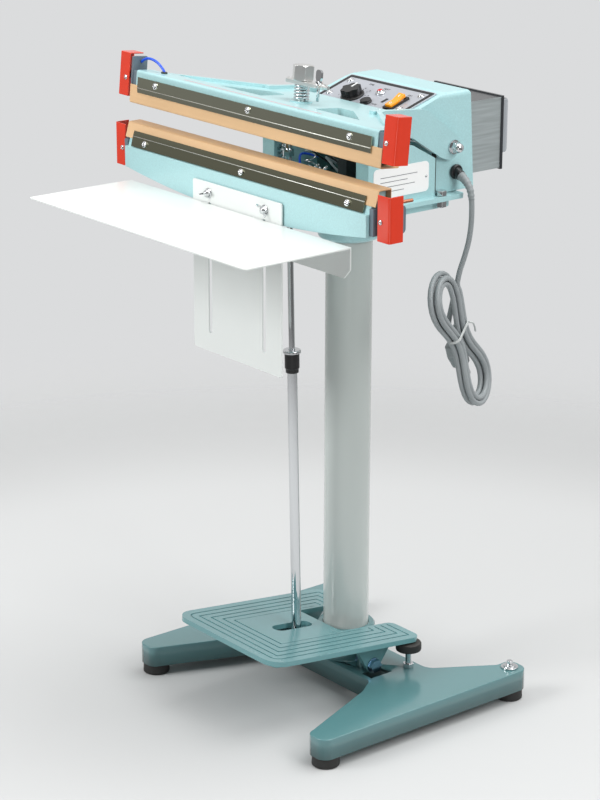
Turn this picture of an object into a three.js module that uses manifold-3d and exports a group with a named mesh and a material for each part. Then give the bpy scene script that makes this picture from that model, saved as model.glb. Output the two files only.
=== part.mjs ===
// Foot-operated impulse heat sealer on a column stand.
// Millimetres, +Z up, +X to the operator's right, +Y to the back of the machine.
// Inside the outer group, Y = 0 is the axis of the column; the outer group then centres the machine.
import * as THREE from "three";
import { mergeVertices } from "three/addons/utils/BufferGeometryUtils.js";
import Module from "manifold-3d";

const wasm = await Module();
wasm.setup();

// ---------------------------------------------------------------- driving dimensions
const GAP = 0.3; // between pieces that touch
const SEAL_LENGTH = 457; // length of the steel cover strips, for a 450 mm seal
const OPEN_ANGLE = THREE.MathUtils.degToRad(5.6); // how far the arm stands open at rest
const PEDAL_TILT = THREE.MathUtils.degToRad(6.73); // how far the pedal stands front-up at rest
const ARM_PIVOT = { y: 79, z: 735 };
const PEDAL_PIVOT = { y: -15, z: 50 };

const FOOT = { x: 179.5, frontY: -182.7, rearY: 131.4, radius: 17.8, height: 14 };
const BASE = { bottom: 14, top: 42, wall: 8, tipRadius: 18 };
const COLUMN = { radius: 30.15, wall: 3, bottom: 42.3, top: 652 };
const SOCKET = { radius: 39, top: 85 };
const PEDAL = { halfWidth: 105, frontY: -196.3, rearY: 52.4, topZ: 42.1, thickness: 6.5, armInnerX: 44 };
const GROOVE = { count: 5, pitch: 11, width: 2.2, depth: 1.3 };
const ROD = { lowerRadius: 6.4, upperRadius: 3.9, collarBottom: 455, collarTop: 480 };
const ROD_BOTTOM = new THREE.Vector3(0, -84.3, 84);
const ROD_TOP = new THREE.Vector3(0, -99.6, 768);

const SADDLE = { halfWidth: 98, frontY: -62, rearY: 84, bottom: 657.7, top: 669.7 };
const HEAD_BOLT = { x: 106.3, y: 59 };
const HEAD_FLOOR = { halfWidth: 113.5, bottom: 670, top: 676, frontY: -60, rearY: 93 };
const WALL = { innerX: 97.5, outerX: 103, frontY: -58, seamY: 51 };
const LOWER_JAW = { halfLength: 238, frontY: -177, rearY: -147, top: 738.5, endZ: 686, middleZ: 668 };
const JAW_COVER_HALF = 246; // the cloth runs past both ends of the jaws
const UPPER_BAR = { halfLength: 236, frontY: -163.3, rearY: -138, bottom: 745.8, top: 785 };
const ARM_PLATE = { bottom: 768, top: 779, rearY: -12 };
const CAP = { innerX: 248.3, outerX: 270, wall: 1.6, corner: 3.2 };
const END_PLATE = { inner: 244.6, outer: 248 };
const PRESSURE_Y = -84.5; // the pressure screw stands on the arm here, in the closed arm's own place

const HOUSING = { topHalf: 90, bottomHalf: 98.5, topZ: 800, bottomZ: 677, rearY: 120, wall: 2.5 };
const RIDGE = { y: 79, z: 800 }; // where the housing's top turns down into the sloping front
const LIP = { y: 5, z: 775.9 };
const PANEL = { width: 163, length: 66, thickness: 1.6, topDrop: 8 };
const TRANSFORMER = { left: -50, right: 76, frontY: 120.3, plateY: 186, rearY: 190, bottom: 688, top: 780 };
const BELL = { left: -34, right: 60, rearY: 219, bottom: 702, top: 773 };

const SHELF = { halfWidth: 219, frontY: -337, rearY: -184, top: 672, thickness: 2, flangeDrop: 39 };
const BACKPLATE = { halfWidth: 88, bottom: 481, top: 698, frontY: -180.2, rearY: -178.2 };
const TABLE_SLOT = { x: 54, bottom: 505, top: 673, width: 7 };
const WING = { x: 56, z: 684.5 };

const CORD = { radius: 3.5 };
const ORIGIN_Y = (SHELF.frontY + BELL.rearY) / 2; // the middle of the machine, front to back

// ---------------------------------------------------------------- materials
const paint = (color, roughness = 0.45) => new THREE.MeshStandardMaterial({ color, roughness, metalness: 0.1 });
const metal = (color, roughness = 0.2) => new THREE.MeshStandardMaterial({ color, roughness, metalness: 1 });
const plastic = (color, roughness = 0.5) => new THREE.MeshStandardMaterial({ color, roughness, metalness: 0 });
const HEAD_PAINT = paint(0xa9cfcf);
const BASE_PAINT = paint(0x6f9fa0);
const COLUMN_PAINT = paint(0xc9cdcc, 0.35);
const SHELF_PAINT = paint(0xe9ebea, 0.4);
const CHROME = metal(0xd0d2d3, 0.12);
const STEEL = metal(0xb7b9ba, 0.3);
const STRIP_STEEL = metal(0x9a9a8c, 0.1);
const PANEL_STEEL = metal(0xc4c7cc, 0.4);
const BLACK_STEEL = metal(0x2a2a2c, 0.4);
const ELEMENT = metal(0x9b8f80, 0.4);
const RUBBER = plastic(0x161616, 0.8);
const BLACK_PLASTIC = plastic(0x111112, 0.35);
const RED_PLASTIC = plastic(0xd8392b, 0.35);
const AMBER_PLASTIC = plastic(0xf29a12, 0.2);
const BLUE_PLASTIC = plastic(0x2450c8, 0.35);
const GREEN_BOARD = plastic(0x2e6b45, 0.5);
const PTFE_CLOTH = plastic(0xc9a77f, 0.6);
const INSULATOR = plastic(0x6f7f8a, 0.5);
const CORD_GREY = plastic(0x7d8486, 0.5);

// ---------------------------------------------------------------- shape helpers
// A closed outline of [x, y, corner radius] points, its corners rounded by true arcs.
function outline(points) {
  const shape = new THREE.Shape();
  const at = (i) => new THREE.Vector2(...points[(i + points.length) % points.length].slice(0, 2));
  points.forEach(([, , radius = 0], i) => {
    const corner = at(i);
    if (!radius) {
      shape[i ? "lineTo" : "moveTo"](corner.x, corner.y);
      return;
    }
    const toPrevious = at(i - 1).sub(corner).normalize();
    const toNext = at(i + 1).sub(corner).normalize();
    const half = Math.acos(THREE.MathUtils.clamp(toPrevious.dot(toNext), -1, 1)) / 2;
    const start = corner.clone().addScaledVector(toPrevious, radius / Math.tan(half));
    const end = corner.clone().addScaledVector(toNext, radius / Math.tan(half));
    const middle = toPrevious.clone().add(toNext).normalize();
    const centre = corner.clone().addScaledVector(middle, radius / Math.sin(half));
    const turnsRight = toPrevious.cross(toNext) > 0;
    shape[i ? "lineTo" : "moveTo"](start.x, start.y);
    shape.absarc(centre.x, centre.y, radius, start.sub(centre).angle(), end.sub(centre).angle(), turnsRight);
  });
  shape.closePath();
  return shape;
}

const rectangle = (left, bottom, right, top, radius = 0) =>
  outline([[left, bottom, radius], [right, bottom, radius], [right, top, radius], [left, top, radius]]);

function disc(x, y, radius) {
  const shape = new THREE.Shape();
  shape.absarc(x, y, radius, 0, 2 * Math.PI);
  return shape;
}

function withHoles(shape, ...holes) {
  shape.holes.push(...holes);
  return shape;
}

const extrude = (shape, depth, curveSegments) =>
  new THREE.ExtrudeGeometry(shape, { depth, bevelEnabled: false, curveSegments });

// Outlines in the plan view, raised from one height to another.
const alongZ = (shape, from, to, segments = 3) => extrude(shape, to - from, segments).translate(0, 0, from);

// Outlines drawn as (y, z), pushed along X.
const alongX = (shape, from, to, segments = 3) =>
  extrude(shape, to - from, segments)
    .translate(0, 0, from)
    .applyMatrix4(new THREE.Matrix4().set(0, 0, 1, 0, 1, 0, 0, 0, 0, 1, 0, 0, 0, 0, 0, 1));

// Outlines drawn as (x, z), pushed along Y.
const alongY = (shape, from, to, segments = 3) =>
  extrude(shape, to - from, segments)
    .translate(0, 0, -to)
    .applyMatrix4(new THREE.Matrix4().set(1, 0, 0, 0, 0, 0, -1, 0, 0, 1, 0, 0, 0, 0, 0, 1));

const block = (x, y, z) =>
  new THREE.BoxGeometry(x[1] - x[0], y[1] - y[0], z[1] - z[0])
    .translate((x[0] + x[1]) / 2, (y[0] + y[1]) / 2, (z[0] + z[1]) / 2);

// Turns a closed (radius, height) profile round the Z axis.
function turned(profile, segments = 18) {
  const area = profile.reduce((sum, [r, z], i) => {
    const [nextR, nextZ] = profile[(i + 1) % profile.length];
    return sum + r * nextZ - nextR * z;
  }, 0);
  const ordered = area > 0 ? profile : [...profile].reverse();
  const points = ordered.map(([r, z]) => new THREE.Vector2(r, z));
  if (points[0].x > 0 || points.at(-1).x > 0) points.push(points[0].clone());
  return new THREE.LatheGeometry(points, segments).rotateX(Math.PI / 2);
}

const cylinder = (radius, from, to, segments = 18) =>
  turned([[0, from], [radius, from], [radius, to], [0, to]], segments);
const hexagon = (acrossFlats, from, to) => cylinder(acrossFlats / Math.sqrt(3), from, to, 6);
const TO_PLUS_X = new THREE.Matrix4().makeRotationY(Math.PI / 2);
const TO_FRONT = new THREE.Matrix4().makeRotationX(Math.PI / 2);

// A section pushed along a line of points.
function swept(points, radius, steps, sides = 8) {
  const section = new THREE.Shape();
  for (let i = 0; i < sides; i += 1) {
    const angle = (2 * Math.PI * i) / sides;
    section[i ? "lineTo" : "moveTo"](radius * Math.cos(angle), radius * Math.sin(angle));
  }
  const extrudePath = new THREE.CatmullRomCurve3(points.map((p) => new THREE.Vector3(...p)));
  return new THREE.ExtrudeGeometry(section, { steps, extrudePath, bevelEnabled: false });
}

// A round-wire coil spring standing on z = 0.
function coil(radius, wireRadius, height, turns) {
  const steps = turns * 12;
  const points = [];
  for (let i = 0; i <= steps; i += 1) {
    const angle = (2 * Math.PI * i) / 12;
    const z = wireRadius + ((height - 2 * wireRadius) * i) / steps;
    points.push([radius * Math.cos(angle), radius * Math.sin(angle), z]);
  }
  return swept(points, wireRadius, steps, 6);
}

// ---------------------------------------------------------------- cutting and joining
function solid(shape) {
  if (shape instanceof wasm.Manifold) return shape;
  const positions = shape.index ? shape.toNonIndexed() : shape;
  const bare = new THREE.BufferGeometry().setAttribute("position", positions.getAttribute("position"));
  const merged = mergeVertices(bare, 1e-3);
  return new wasm.Manifold(new wasm.Mesh({
    numProp: 3,
    vertProperties: merged.attributes.position.array,
    triVerts: new Uint32Array(merged.index.array),
  }));
}

const join = (...shapes) => shapes.map(solid).reduce((whole, shape) => whole.add(shape));
const cut = (shape, ...tools) => tools.map(solid).reduce((rest, tool) => rest.subtract(tool), solid(shape));
const common = (a, b) => solid(a).intersect(solid(b));

function geometryOf(shape) {
  if (!(shape instanceof wasm.Manifold)) return shape;
  const { vertProperties, triVerts } = shape.getMesh();
  const geometry = new THREE.BufferGeometry();
  geometry.setAttribute("position", new THREE.BufferAttribute(vertProperties, 3));
  geometry.setIndex(new THREE.BufferAttribute(triVerts, 1));
  return geometry;
}

function piece(parent, name, shape, material) {
  const mesh = new THREE.Mesh(geometryOf(shape), material);
  mesh.name = name;
  parent.add(mesh);
  return mesh;
}

const SIDES = [["left", -1], ["right", 1]];
const mirrored = (points) => [...points, ...points.map(([x, y, r]) => [-x, y, r]).reverse()];
const onSide = (side, [a, b]) => (side > 0 ? [a, b] : [-b, -a]);

// ---------------------------------------------------------------- groups
const machine = new THREE.Group();
const stand = new THREE.Group();
stand.position.y = -ORIGIN_Y;
machine.add(stand);

// Pieces of the arm are drawn with the jaws closed, then the whole arm swings open.
const armHinge = new THREE.Group();
armHinge.position.set(0, ARM_PIVOT.y, ARM_PIVOT.z);
armHinge.rotation.x = -OPEN_ANGLE;
stand.add(armHinge);
const arm = new THREE.Group();
arm.position.set(0, -ARM_PIVOT.y, -ARM_PIVOT.z);
armHinge.add(arm);

// Pieces of the pedal are drawn level round its pivot, then tilted.
const pedal = new THREE.Group();
pedal.position.set(0, PEDAL_PIVOT.y, PEDAL_PIVOT.z);
pedal.rotation.x = -PEDAL_TILT;
stand.add(pedal);

// Fittings on the sloping panel: x across, y up the slope from the panel's middle, z out of it.
const slope = Math.atan2(RIDGE.z - LIP.z, RIDGE.y - LIP.y);
const panelFace = new THREE.Group();
const panelMiddle = PANEL.topDrop + PANEL.length / 2;
panelFace.position.set(0, RIDGE.y - panelMiddle * Math.cos(slope), RIDGE.z - panelMiddle * Math.sin(slope));
panelFace.rotation.x = slope;
stand.add(panelFace);
const FACE = GAP + PANEL.thickness + GAP; // height of the panel's outer face, with the gap to what sits on it

// ---------------------------------------------------------------- base
function baseCasting() {
  const tip = BASE.tipRadius;
  const outer = FOOT.x + tip;
  const plan = outline(mirrored([
    [0, -40], [95, -40, 10], [113, -66, 25], [FOOT.x - tip, FOOT.frontY - 6, tip * 0.75],
    [FOOT.x - tip + 3, FOOT.frontY - tip, tip * 0.7], [outer, FOOT.frontY - tip, tip * 0.8],
    [outer, FOOT.rearY + tip, tip * 0.8], [FOOT.x - tip, FOOT.rearY + tip, tip * 0.7],
    [FOOT.x - tip + 1, FOOT.rearY - 6, 10], [113, 46, 20], [0, 46],
  ].map(([x, y, r]) => [x, y, r])));
  const body = alongZ(plan, BASE.bottom, BASE.top);
  const cutters = [];
  for (const [, side] of SIDES) {
    const underside = outline([
      [side * 189, -150, 4], [side * 189, 100, 4], [side * 168, 96, 4], [side * 118, 36, 4],
      [side * 50, 36, 4], [side * 50, -30, 4], [side * 106, -30, 4], [side * 128, -70, 4], [side * 168, -150, 4],
    ]);
    cutters.push(alongZ(underside, BASE.bottom - 1, BASE.top - BASE.wall));
    // window under the pedal's lug, and holes for the buffer stud and the rear foot's stud
    cutters.push(block(onSide(side, [66, 92]), [-33, 4], [BASE.bottom - 2, BASE.top + 1]));
    cutters.push(cylinder(4.4, BASE.bottom - 1, BASE.top + 1, 16).translate(side * 95, 28, 0));
    cutters.push(cylinder(4.4, BASE.bottom - 1, BASE.top + 1, 16).translate(side * FOOT.x, FOOT.rearY, 0));
  }
  const ears = SIDES.map(([, side]) => {
    const ear = join(
      alongX(rectangle(-28, BASE.top - 4, -2, PEDAL_PIVOT.z), 56, 65.6),
      cylinder(13, 56, 65.6).applyMatrix4(TO_PLUS_X).translate(0, PEDAL_PIVOT.y, PEDAL_PIVOT.z),
    );
    const bored = cut(ear, cylinder(5.4, 50, 70, 16).applyMatrix4(TO_PLUS_X).translate(0, PEDAL_PIVOT.y, PEDAL_PIVOT.z));
    return side > 0 ? bored : bored.mirror([1, 0, 0]);
  });
  const socket = turned([
    [SOCKET.radius, BASE.top - 2], [SOCKET.radius, SOCKET.top - 3], [SOCKET.radius - 3, SOCKET.top],
    [COLUMN.radius + GAP, SOCKET.top], [COLUMN.radius + GAP, BASE.top - 2],
  ], 32);
  return join(cut(body, ...cutters), ...ears, socket);
}

function rubberFoot(withStud) {
  const top = FOOT.height - GAP;
  const rubber = turned([[0, 0], [FOOT.radius - 1, 0], [FOOT.radius, 1.5], [FOOT.radius - 0.6, top], [0, top]]);
  if (!withStud) return rubber;
  return join(
    rubber,
    cylinder(4, top - 1, BASE.top + 10, 12),
    turned([[0, BASE.top + GAP], [11.5, BASE.top + GAP], [11.5, BASE.top + 2.2], [10, BASE.top + 2.8], [0, BASE.top + 2.8]]),
    turned([[0, BASE.top + 2.5], [8.5, BASE.top + 2.5], [8.5, BASE.top + 4.4], [0, BASE.top + 4.4]]),
  );
}

function buffer() {
  return join(
    turned([[0, 67.2], [16, 67.2], [17, 68.6], [17, 77.4], [15.8, 78.8], [0, 78.8]]),
    cylinder(4, 36, 68, 12),
    hexagon(13, BASE.top + GAP, BASE.top + 6.5),
  );
}

function pedalBolt() {
  return join(
    hexagon(16, 75.2, 81.6),
    cylinder(10, 74.3, 75.4, 20),
    cylinder(5, 47, 75, 16),
    hexagon(16, 47.4, 55.7),
  );
}

piece(stand, "base_casting", baseCasting(), BASE_PAINT);
for (const [name, side] of SIDES) {
  piece(stand, `rubber_foot_front_${name}`, rubberFoot(false), RUBBER).position.set(side * FOOT.x, FOOT.frontY, 0);
  piece(stand, `rubber_foot_rear_${name}`, rubberFoot(true), RUBBER).position.set(side * FOOT.x, FOOT.rearY, 0);
  piece(stand, `pedal_buffer_${name}`, buffer(), RUBBER).position.set(side * 95, 28, 0);
  const bolt = piece(stand, `pedal_bolt_${name}`, pedalBolt(), CHROME);
  bolt.position.set(0, PEDAL_PIVOT.y, PEDAL_PIVOT.z);
  bolt.rotation.y = (side * Math.PI) / 2;
}
piece(stand, "column_tube", turned([
  [COLUMN.radius, COLUMN.bottom], [COLUMN.radius, COLUMN.top],
  [COLUMN.radius - COLUMN.wall, COLUMN.top], [COLUMN.radius - COLUMN.wall, COLUMN.bottom],
], 40), COLUMN_PAINT);

// ---------------------------------------------------------------- pedal
// The pedal's outline, moved inwards by an inset; the ends of its two arms move in too.
function pedalOutline(inset) {
  const outer = PEDAL.halfWidth - inset;
  const round = (radius) => Math.max(radius - inset, 2);
  const rear = PEDAL.rearY - inset;
  const inner = PEDAL.armInnerX;
  return outline([
    [-outer, PEDAL.frontY + inset, round(24)], [outer, PEDAL.frontY + inset, round(24)],
    [outer, rear, round(14)], [inner - 5, rear], [inner - 5, -60], [-inner + 5, -60],
    [-inner + 5, rear], [-outer, rear, round(14)],
  ]);
}

function footPedal() {
  const top = PEDAL.topZ;
  const under = top - PEDAL.thickness;
  const inner = PEDAL.armInnerX;
  const plate = alongZ(outline([
    [-PEDAL.halfWidth, PEDAL.frontY, 24], [PEDAL.halfWidth, PEDAL.frontY, 24],
    [PEDAL.halfWidth, PEDAL.rearY, 14], [inner, PEDAL.rearY, 10], [inner, -35, 6],
    [-inner, -35, 6], [-inner, PEDAL.rearY, 10], [-PEDAL.halfWidth, PEDAL.rearY, 14],
  ]), under, top);
  const grooves = [];
  for (let i = 1; i <= GROOVE.count; i += 1) {
    const edge = alongZ(pedalOutline(i * GROOVE.pitch), top - GROOVE.depth, top + 1);
    grooves.push(cut(edge, alongZ(pedalOutline(i * GROOVE.pitch + GROOVE.width), top - 3, top + 2)));
  }
  // the grooves stop short of the smooth middle of the plate
  const smoothMiddle = block([-inner - 5, inner + 5], [-139, PEDAL.rearY + 1], [top - 3, top + 2]);
  const rodSlot = alongZ(rectangle(-10.5, -113, 10.5, -52, 10), under - 1, top + 1);
  const lugs = SIDES.map(([, side]) => {
    const lug = alongX(outline([
      [-40, under + 1], [-13, 0, 12.9], [0, -17, 8], [13, 0, 12.9], [34, under + 1],
    ]), ...onSide(side, [66.2, 73.8]));
    return cut(lug, cylinder(5.4, -110, 110, 16).applyMatrix4(TO_PLUS_X));
  });
  // ears that carry the pull rod's pin, slotted so that the pin can slide
  const pinY = ROD_BOTTOM.y - PEDAL_PIVOT.y;
  const pinZ = ROD_BOTTOM.z - PEDAL_PIVOT.z;
  const pin = new THREE.Vector3(0, pinY, pinZ).applyAxisAngle(new THREE.Vector3(1, 0, 0), PEDAL_TILT);
  const ears = SIDES.map(([, side]) => cut(
    alongX(rectangle(pin.y - 15, pin.z - 12, pin.y + 21, under + 1, 3), ...onSide(side, [12, 18])),
    alongX(rectangle(pin.y - 5.4, pin.z - 5.2, pin.y + 13, pin.z + 5.2, 5), ...onSide(side, [11, 19])),
  ));
  const stiffener = alongZ(
    withHoles(rectangle(-88, -180, 88, -44, 6), rectangle(-82, -174, 82, -50, 4)), under - 7, under + 1,
  );
  return join(cut(plate, ...grooves.map((groove) => cut(groove, smoothMiddle)), rodSlot), ...lugs, ...ears, stiffener);
}
piece(pedal, "foot_pedal", footPedal(), BASE_PAINT);

// ---------------------------------------------------------------- pull rod
const rodDirection = ROD_TOP.clone().sub(ROD_BOTTOM).normalize();
const rodLean = new THREE.Quaternion().setFromUnitVectors(new THREE.Vector3(0, 0, 1), rodDirection);
const rodMatrix = new THREE.Matrix4().compose(ROD_BOTTOM, rodLean, new THREE.Vector3(1, 1, 1));
const rodLength = ROD_TOP.distanceTo(ROD_BOTTOM);
const alongRod = (worldZ) => (worldZ - ROD_BOTTOM.z) / rodDirection.z;
const collarFrom = alongRod(ROD.collarBottom);
const collarTo = alongRod(ROD.collarTop);

// The lower tube, with the pin across its foot.
function lowerPullTube() {
  const wall = 1.6;
  const tube = turned([
    [ROD.lowerRadius, -8], [ROD.lowerRadius, collarFrom + 10],
    [ROD.lowerRadius - wall, collarFrom + 10], [ROD.lowerRadius - wall, -8],
  ], 20);
  return join(tube, cylinder(4, -21, 21, 14).applyMatrix4(TO_PLUS_X));
}

function rodCollar() {
  const bore = ROD.lowerRadius + GAP;
  const neck = ROD.upperRadius + GAP;
  return turned([
    [bore, collarFrom - 5], [8.4, collarFrom - 5], [8.4, collarFrom], [9.5, collarFrom + 1],
    [9.5, collarTo - 4], [11.5, collarTo - 4], [11.5, collarTo - 1], [10.5, collarTo],
    [neck, collarTo], [neck, collarFrom + 10.6], [bore, collarFrom + 10.6],
  ], 24);
}

// The upper rod slides in the tube; nuts and an eye with its pin are at its top.
function upperPullRod() {
  return join(
    cylinder(ROD.upperRadius, collarFrom - 60, rodLength + 5, 16),
    cylinder(7, rodLength - 58, rodLength - 56, 20),
    hexagon(13, rodLength - 56, rodLength - 49),
    hexagon(13, rodLength - 38, rodLength - 31),
    cylinder(7, rodLength - 31, rodLength - 29, 20),
    cylinder(3, -14, 14, 12).applyMatrix4(TO_PLUS_X).translate(0, 0, rodLength),
  );
}

for (const [name, shape, material] of [
  ["lower_pull_tube", lowerPullTube(), CHROME],
  ["rod_collar", rodCollar(), BLACK_PLASTIC],
  ["upper_pull_rod", upperPullRod(), CHROME],
]) {
  piece(stand, name, shape, material).applyMatrix4(rodMatrix);
}

// ---------------------------------------------------------------- head castings
function headSaddle() {
  const plate = alongZ(rectangle(-SADDLE.halfWidth, SADDLE.frontY, SADDLE.halfWidth, SADDLE.rearY, 8),
    SADDLE.bottom, SADDLE.top);
  const socketBottom = 612;
  const socket = turned([
    [0, socketBottom], [36.5, socketBottom], [40, socketBottom + 3], [40, SADDLE.bottom + 1], [0, SADDLE.bottom + 1],
  ], 32);
  const bore = cylinder(COLUMN.radius + GAP, socketBottom - 1, COLUMN.top + GAP, 32);
  return cut(join(plate, socket), bore);
}

// Top edge of the side walls: it follows the open arm's cheek, lower by the travel of the arm.
const wallProfile = () => outline([
  [WALL.frontY, HEAD_FLOOR.top - 1], [WALL.seamY, HEAD_FLOOR.top - 1], [WALL.seamY, 724.2],
  [12, 746, 12], [WALL.frontY, 746, 3],
]);

function headBase() {
  const floorBottom = HEAD_FLOOR.bottom;
  const floor = join(
    alongZ(rectangle(-HEAD_FLOOR.halfWidth, HEAD_FLOOR.frontY, HEAD_FLOOR.halfWidth, HEAD_FLOOR.rearY, 6),
      floorBottom, HEAD_FLOOR.top),
    block([-72, 72], [LOWER_JAW.rearY + GAP, HEAD_FLOOR.frontY + 2], [floorBottom + 8, HEAD_FLOOR.top + 8]),
    block([-72, 72], [HEAD_FLOOR.frontY - 4, HEAD_FLOOR.frontY + 6], [floorBottom, HEAD_FLOOR.top + 8]),
    block([-72, 72], [LOWER_JAW.rearY + GAP, LOWER_JAW.rearY + 8], [floorBottom + 8, 726.4]),
  );
  const walls = SIDES.map(([, side]) => alongX(wallProfile(), ...onSide(side, [WALL.innerX, WALL.outerX])));
  const frontLugs = SIDES.map(([, side]) =>
    block(onSide(side, [80, WALL.innerX + 1]), [WALL.frontY, WALL.frontY + 5], [HEAD_FLOOR.top - 1, 740]));
  const rodSlot = alongZ(rectangle(-11, -118, 11, -76, 10), floorBottom - 2, 690);
  const boltHoles = SIDES.map(([, side]) => cylinder(4.3, 660, 690, 12).translate(side * HEAD_BOLT.x, HEAD_BOLT.y, 0));
  return cut(join(floor, ...walls, ...frontLugs), rodSlot, ...boltHoles);
}

const headBolt = () => join(
  cylinder(4, 661, 678, 12),
  hexagon(12, HEAD_FLOOR.top + GAP, HEAD_FLOOR.top + 7),
  hexagon(12, 662, HEAD_FLOOR.bottom - GAP),
);

// A (y, z) point on the leaning front of the lower jaw, at a depth behind the steel strip's face.
const lowerFront = (z, depth = 0) => [-174 + 0.298 * (z - 713.8) + depth, z];

function lowerJaw() {
  const { halfLength, frontY, rearY, top, endZ, middleZ } = LOWER_JAW;
  const front = new THREE.Shape();
  front.moveTo(-halfLength, top);
  front.lineTo(-halfLength, endZ);
  front.quadraticCurveTo(0, 2 * middleZ - endZ, halfLength, endZ);
  front.lineTo(halfLength, top);
  front.closePath();
  const bar = alongY(front, frontY, rearY, 16);
  const slopedFront = alongX(
    outline([[frontY - 5, 712.6], lowerFront(712.6, 3), lowerFront(top + 1, 3), [frontY - 5, top + 1]]),
    -halfLength - 1, halfLength + 1);
  const threads = SIDES.map(([, side]) => alongY(disc(side * WING.x, WING.z, 3.2), frontY - 1, -160, 6));
  const hollowBack = block([-228, 228], [-168, rearY + 1], [693, 729]);
  const cleft = block([-228, 228], [-169, rearY + 1], [600, 694]);
  return cut(bar, slopedFront, hollowBack, cleft, ...threads);
}

// Cloth folded over the lower jaw: an upside-down channel.
const lowerSealCover = () => alongX(outline([
  lowerFront(722.2, 1.5), lowerFront(740.4, 1.5), [lowerFront(741.6, 2)[0] + 1.4, 741.6], [-145.6, 741.6, 1.2],
  [-145.6, 727], [-146.6, 727], [-146.6, 739.8], lowerFront(739.8, 2.7), lowerFront(721.9, 2.7),
]), -JAW_COVER_HALF, JAW_COVER_HALF, 3);

// Steel strip with a folded upper edge, and the heads of its three screws.
function coverStrip(section, screwY, screwZ, screwX, lean) {
  const strip = alongX(outline(section), -SEAL_LENGTH / 2, SEAL_LENGTH / 2, 3);
  const screws = [-screwX, 0, screwX].map((x) => join(cylinder(5, -0.6, 0.8, 16), cylinder(3.6, 0.6, 2.6, 12))
    .rotate([90 - lean, 0, 0]).translate([x, screwY, screwZ]));
  return join(strip, ...screws);
}

const upperStripSection = [
  [-166.7, 777], [-166.7, 764.6], [-166.3, 757.3], [-165.3, 757.3], [-165.4, 764.6], [-165.4, 777],
];
const lowerStripSection = [
  lowerFront(732.6), lowerFront(726.3, -0.4), lowerFront(713.4),
  lowerFront(713.1, 1.1), lowerFront(726, 1.1), lowerFront(732.3, 1.1),
];

// A sheet box over the end of a jaw: front, outer side and bottom, and a top on the upper jaw only.
function endCap(side, frontY, rearY, bottom, top, topWall) {
  const wall = CAP.wall;
  const [inner, outer] = [side * CAP.innerX, side * CAP.outerX];
  const shell = alongZ(outline([
    [inner, frontY, 0.8], [outer, frontY, CAP.corner], [outer, rearY, 0.8], [inner, rearY, 0.8],
  ]), bottom, top);
  const [insideInner, insideOuter] = [inner - side, outer - side * wall];
  const inside = alongZ(outline([
    [insideInner, frontY + wall], [insideOuter, frontY + wall, CAP.corner - wall], [insideOuter, rearY + 1],
    [insideInner, rearY + 1],
  ]), bottom + wall, topWall ? top - wall : top + 1);
  const screw = cylinder(2.6, 0, 1.8, 12).applyMatrix4(TO_FRONT)
    .translate(side * (CAP.innerX + 6), frontY + 0.3, (bottom + top) / 2 - 4);
  return join(cut(shell, inside), screw);
}

// Insulating plate that closes the end of a jaw, with the block that holds the element's end.
function endPlate(side, profile, blockY, blockZ, barEnd) {
  return join(
    alongX(outline(profile), ...onSide(side, [END_PLATE.inner, END_PLATE.outer])),
    block(onSide(side, [barEnd + GAP, END_PLATE.inner + 0.5]), blockY, blockZ),
    block(onSide(side, [END_PLATE.outer - 0.5, END_PLATE.outer + 13]), [blockY[0] + 6, blockY[1] - 3],
      [blockZ[1] - 12, blockZ[1] - 2]),
  );
}

piece(stand, "head_saddle", headSaddle(), HEAD_PAINT);
piece(stand, "head_base", headBase(), HEAD_PAINT);
piece(stand, "lower_jaw", lowerJaw(), HEAD_PAINT);
piece(stand, "lower_seal_cover", lowerSealCover(), PTFE_CLOTH);
piece(stand, "lower_element", block([-234, 234], [-160, -152], [738.8, 739.4]), ELEMENT);
piece(stand, "lower_cover_strip", coverStrip(lowerStripSection, lowerFront(719.5, 0.2)[0], 719.5, 200, 17), STRIP_STEEL);
for (const [name, side] of SIDES) {
  piece(stand, `head_bolt_${name}`, headBolt(), CHROME).position.set(side * HEAD_BOLT.x, HEAD_BOLT.y, 0);
  piece(stand, `lower_cap_${name}`, endCap(side, -169, -148, 683, 737.6, false), RED_PLASTIC);
  const profile = [[-166, 731, 2], [-166, 686, 4], [-125, 686, 5], [-125, 719, 5], [-149, 719, 2], [-149, 731, 2]];
  piece(stand, `lower_end_plate_${name}`, endPlate(side, profile, [-172, -151], [688, 720], LOWER_JAW.halfLength),
    INSULATOR);
}

// ---------------------------------------------------------------- control housing
function housingPrism(inset, profile) {
  const below = 60;
  const spread = (HOUSING.bottomHalf - HOUSING.topHalf) / (HOUSING.topZ - HOUSING.bottomZ);
  const topHalf = HOUSING.topHalf - inset;
  const bottomHalf = HOUSING.bottomHalf - inset + spread * below;
  const radius = inset ? 4 : 7;
  const trapezoid = outline([
    [-bottomHalf, HOUSING.bottomZ - below], [bottomHalf, HOUSING.bottomZ - below],
    [topHalf, HOUSING.topZ, radius], [-topHalf, HOUSING.topZ, radius],
  ]);
  return common(alongX(profile, -150, 150, 4), alongY(trapezoid, -100, 200, 4));
}

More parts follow.
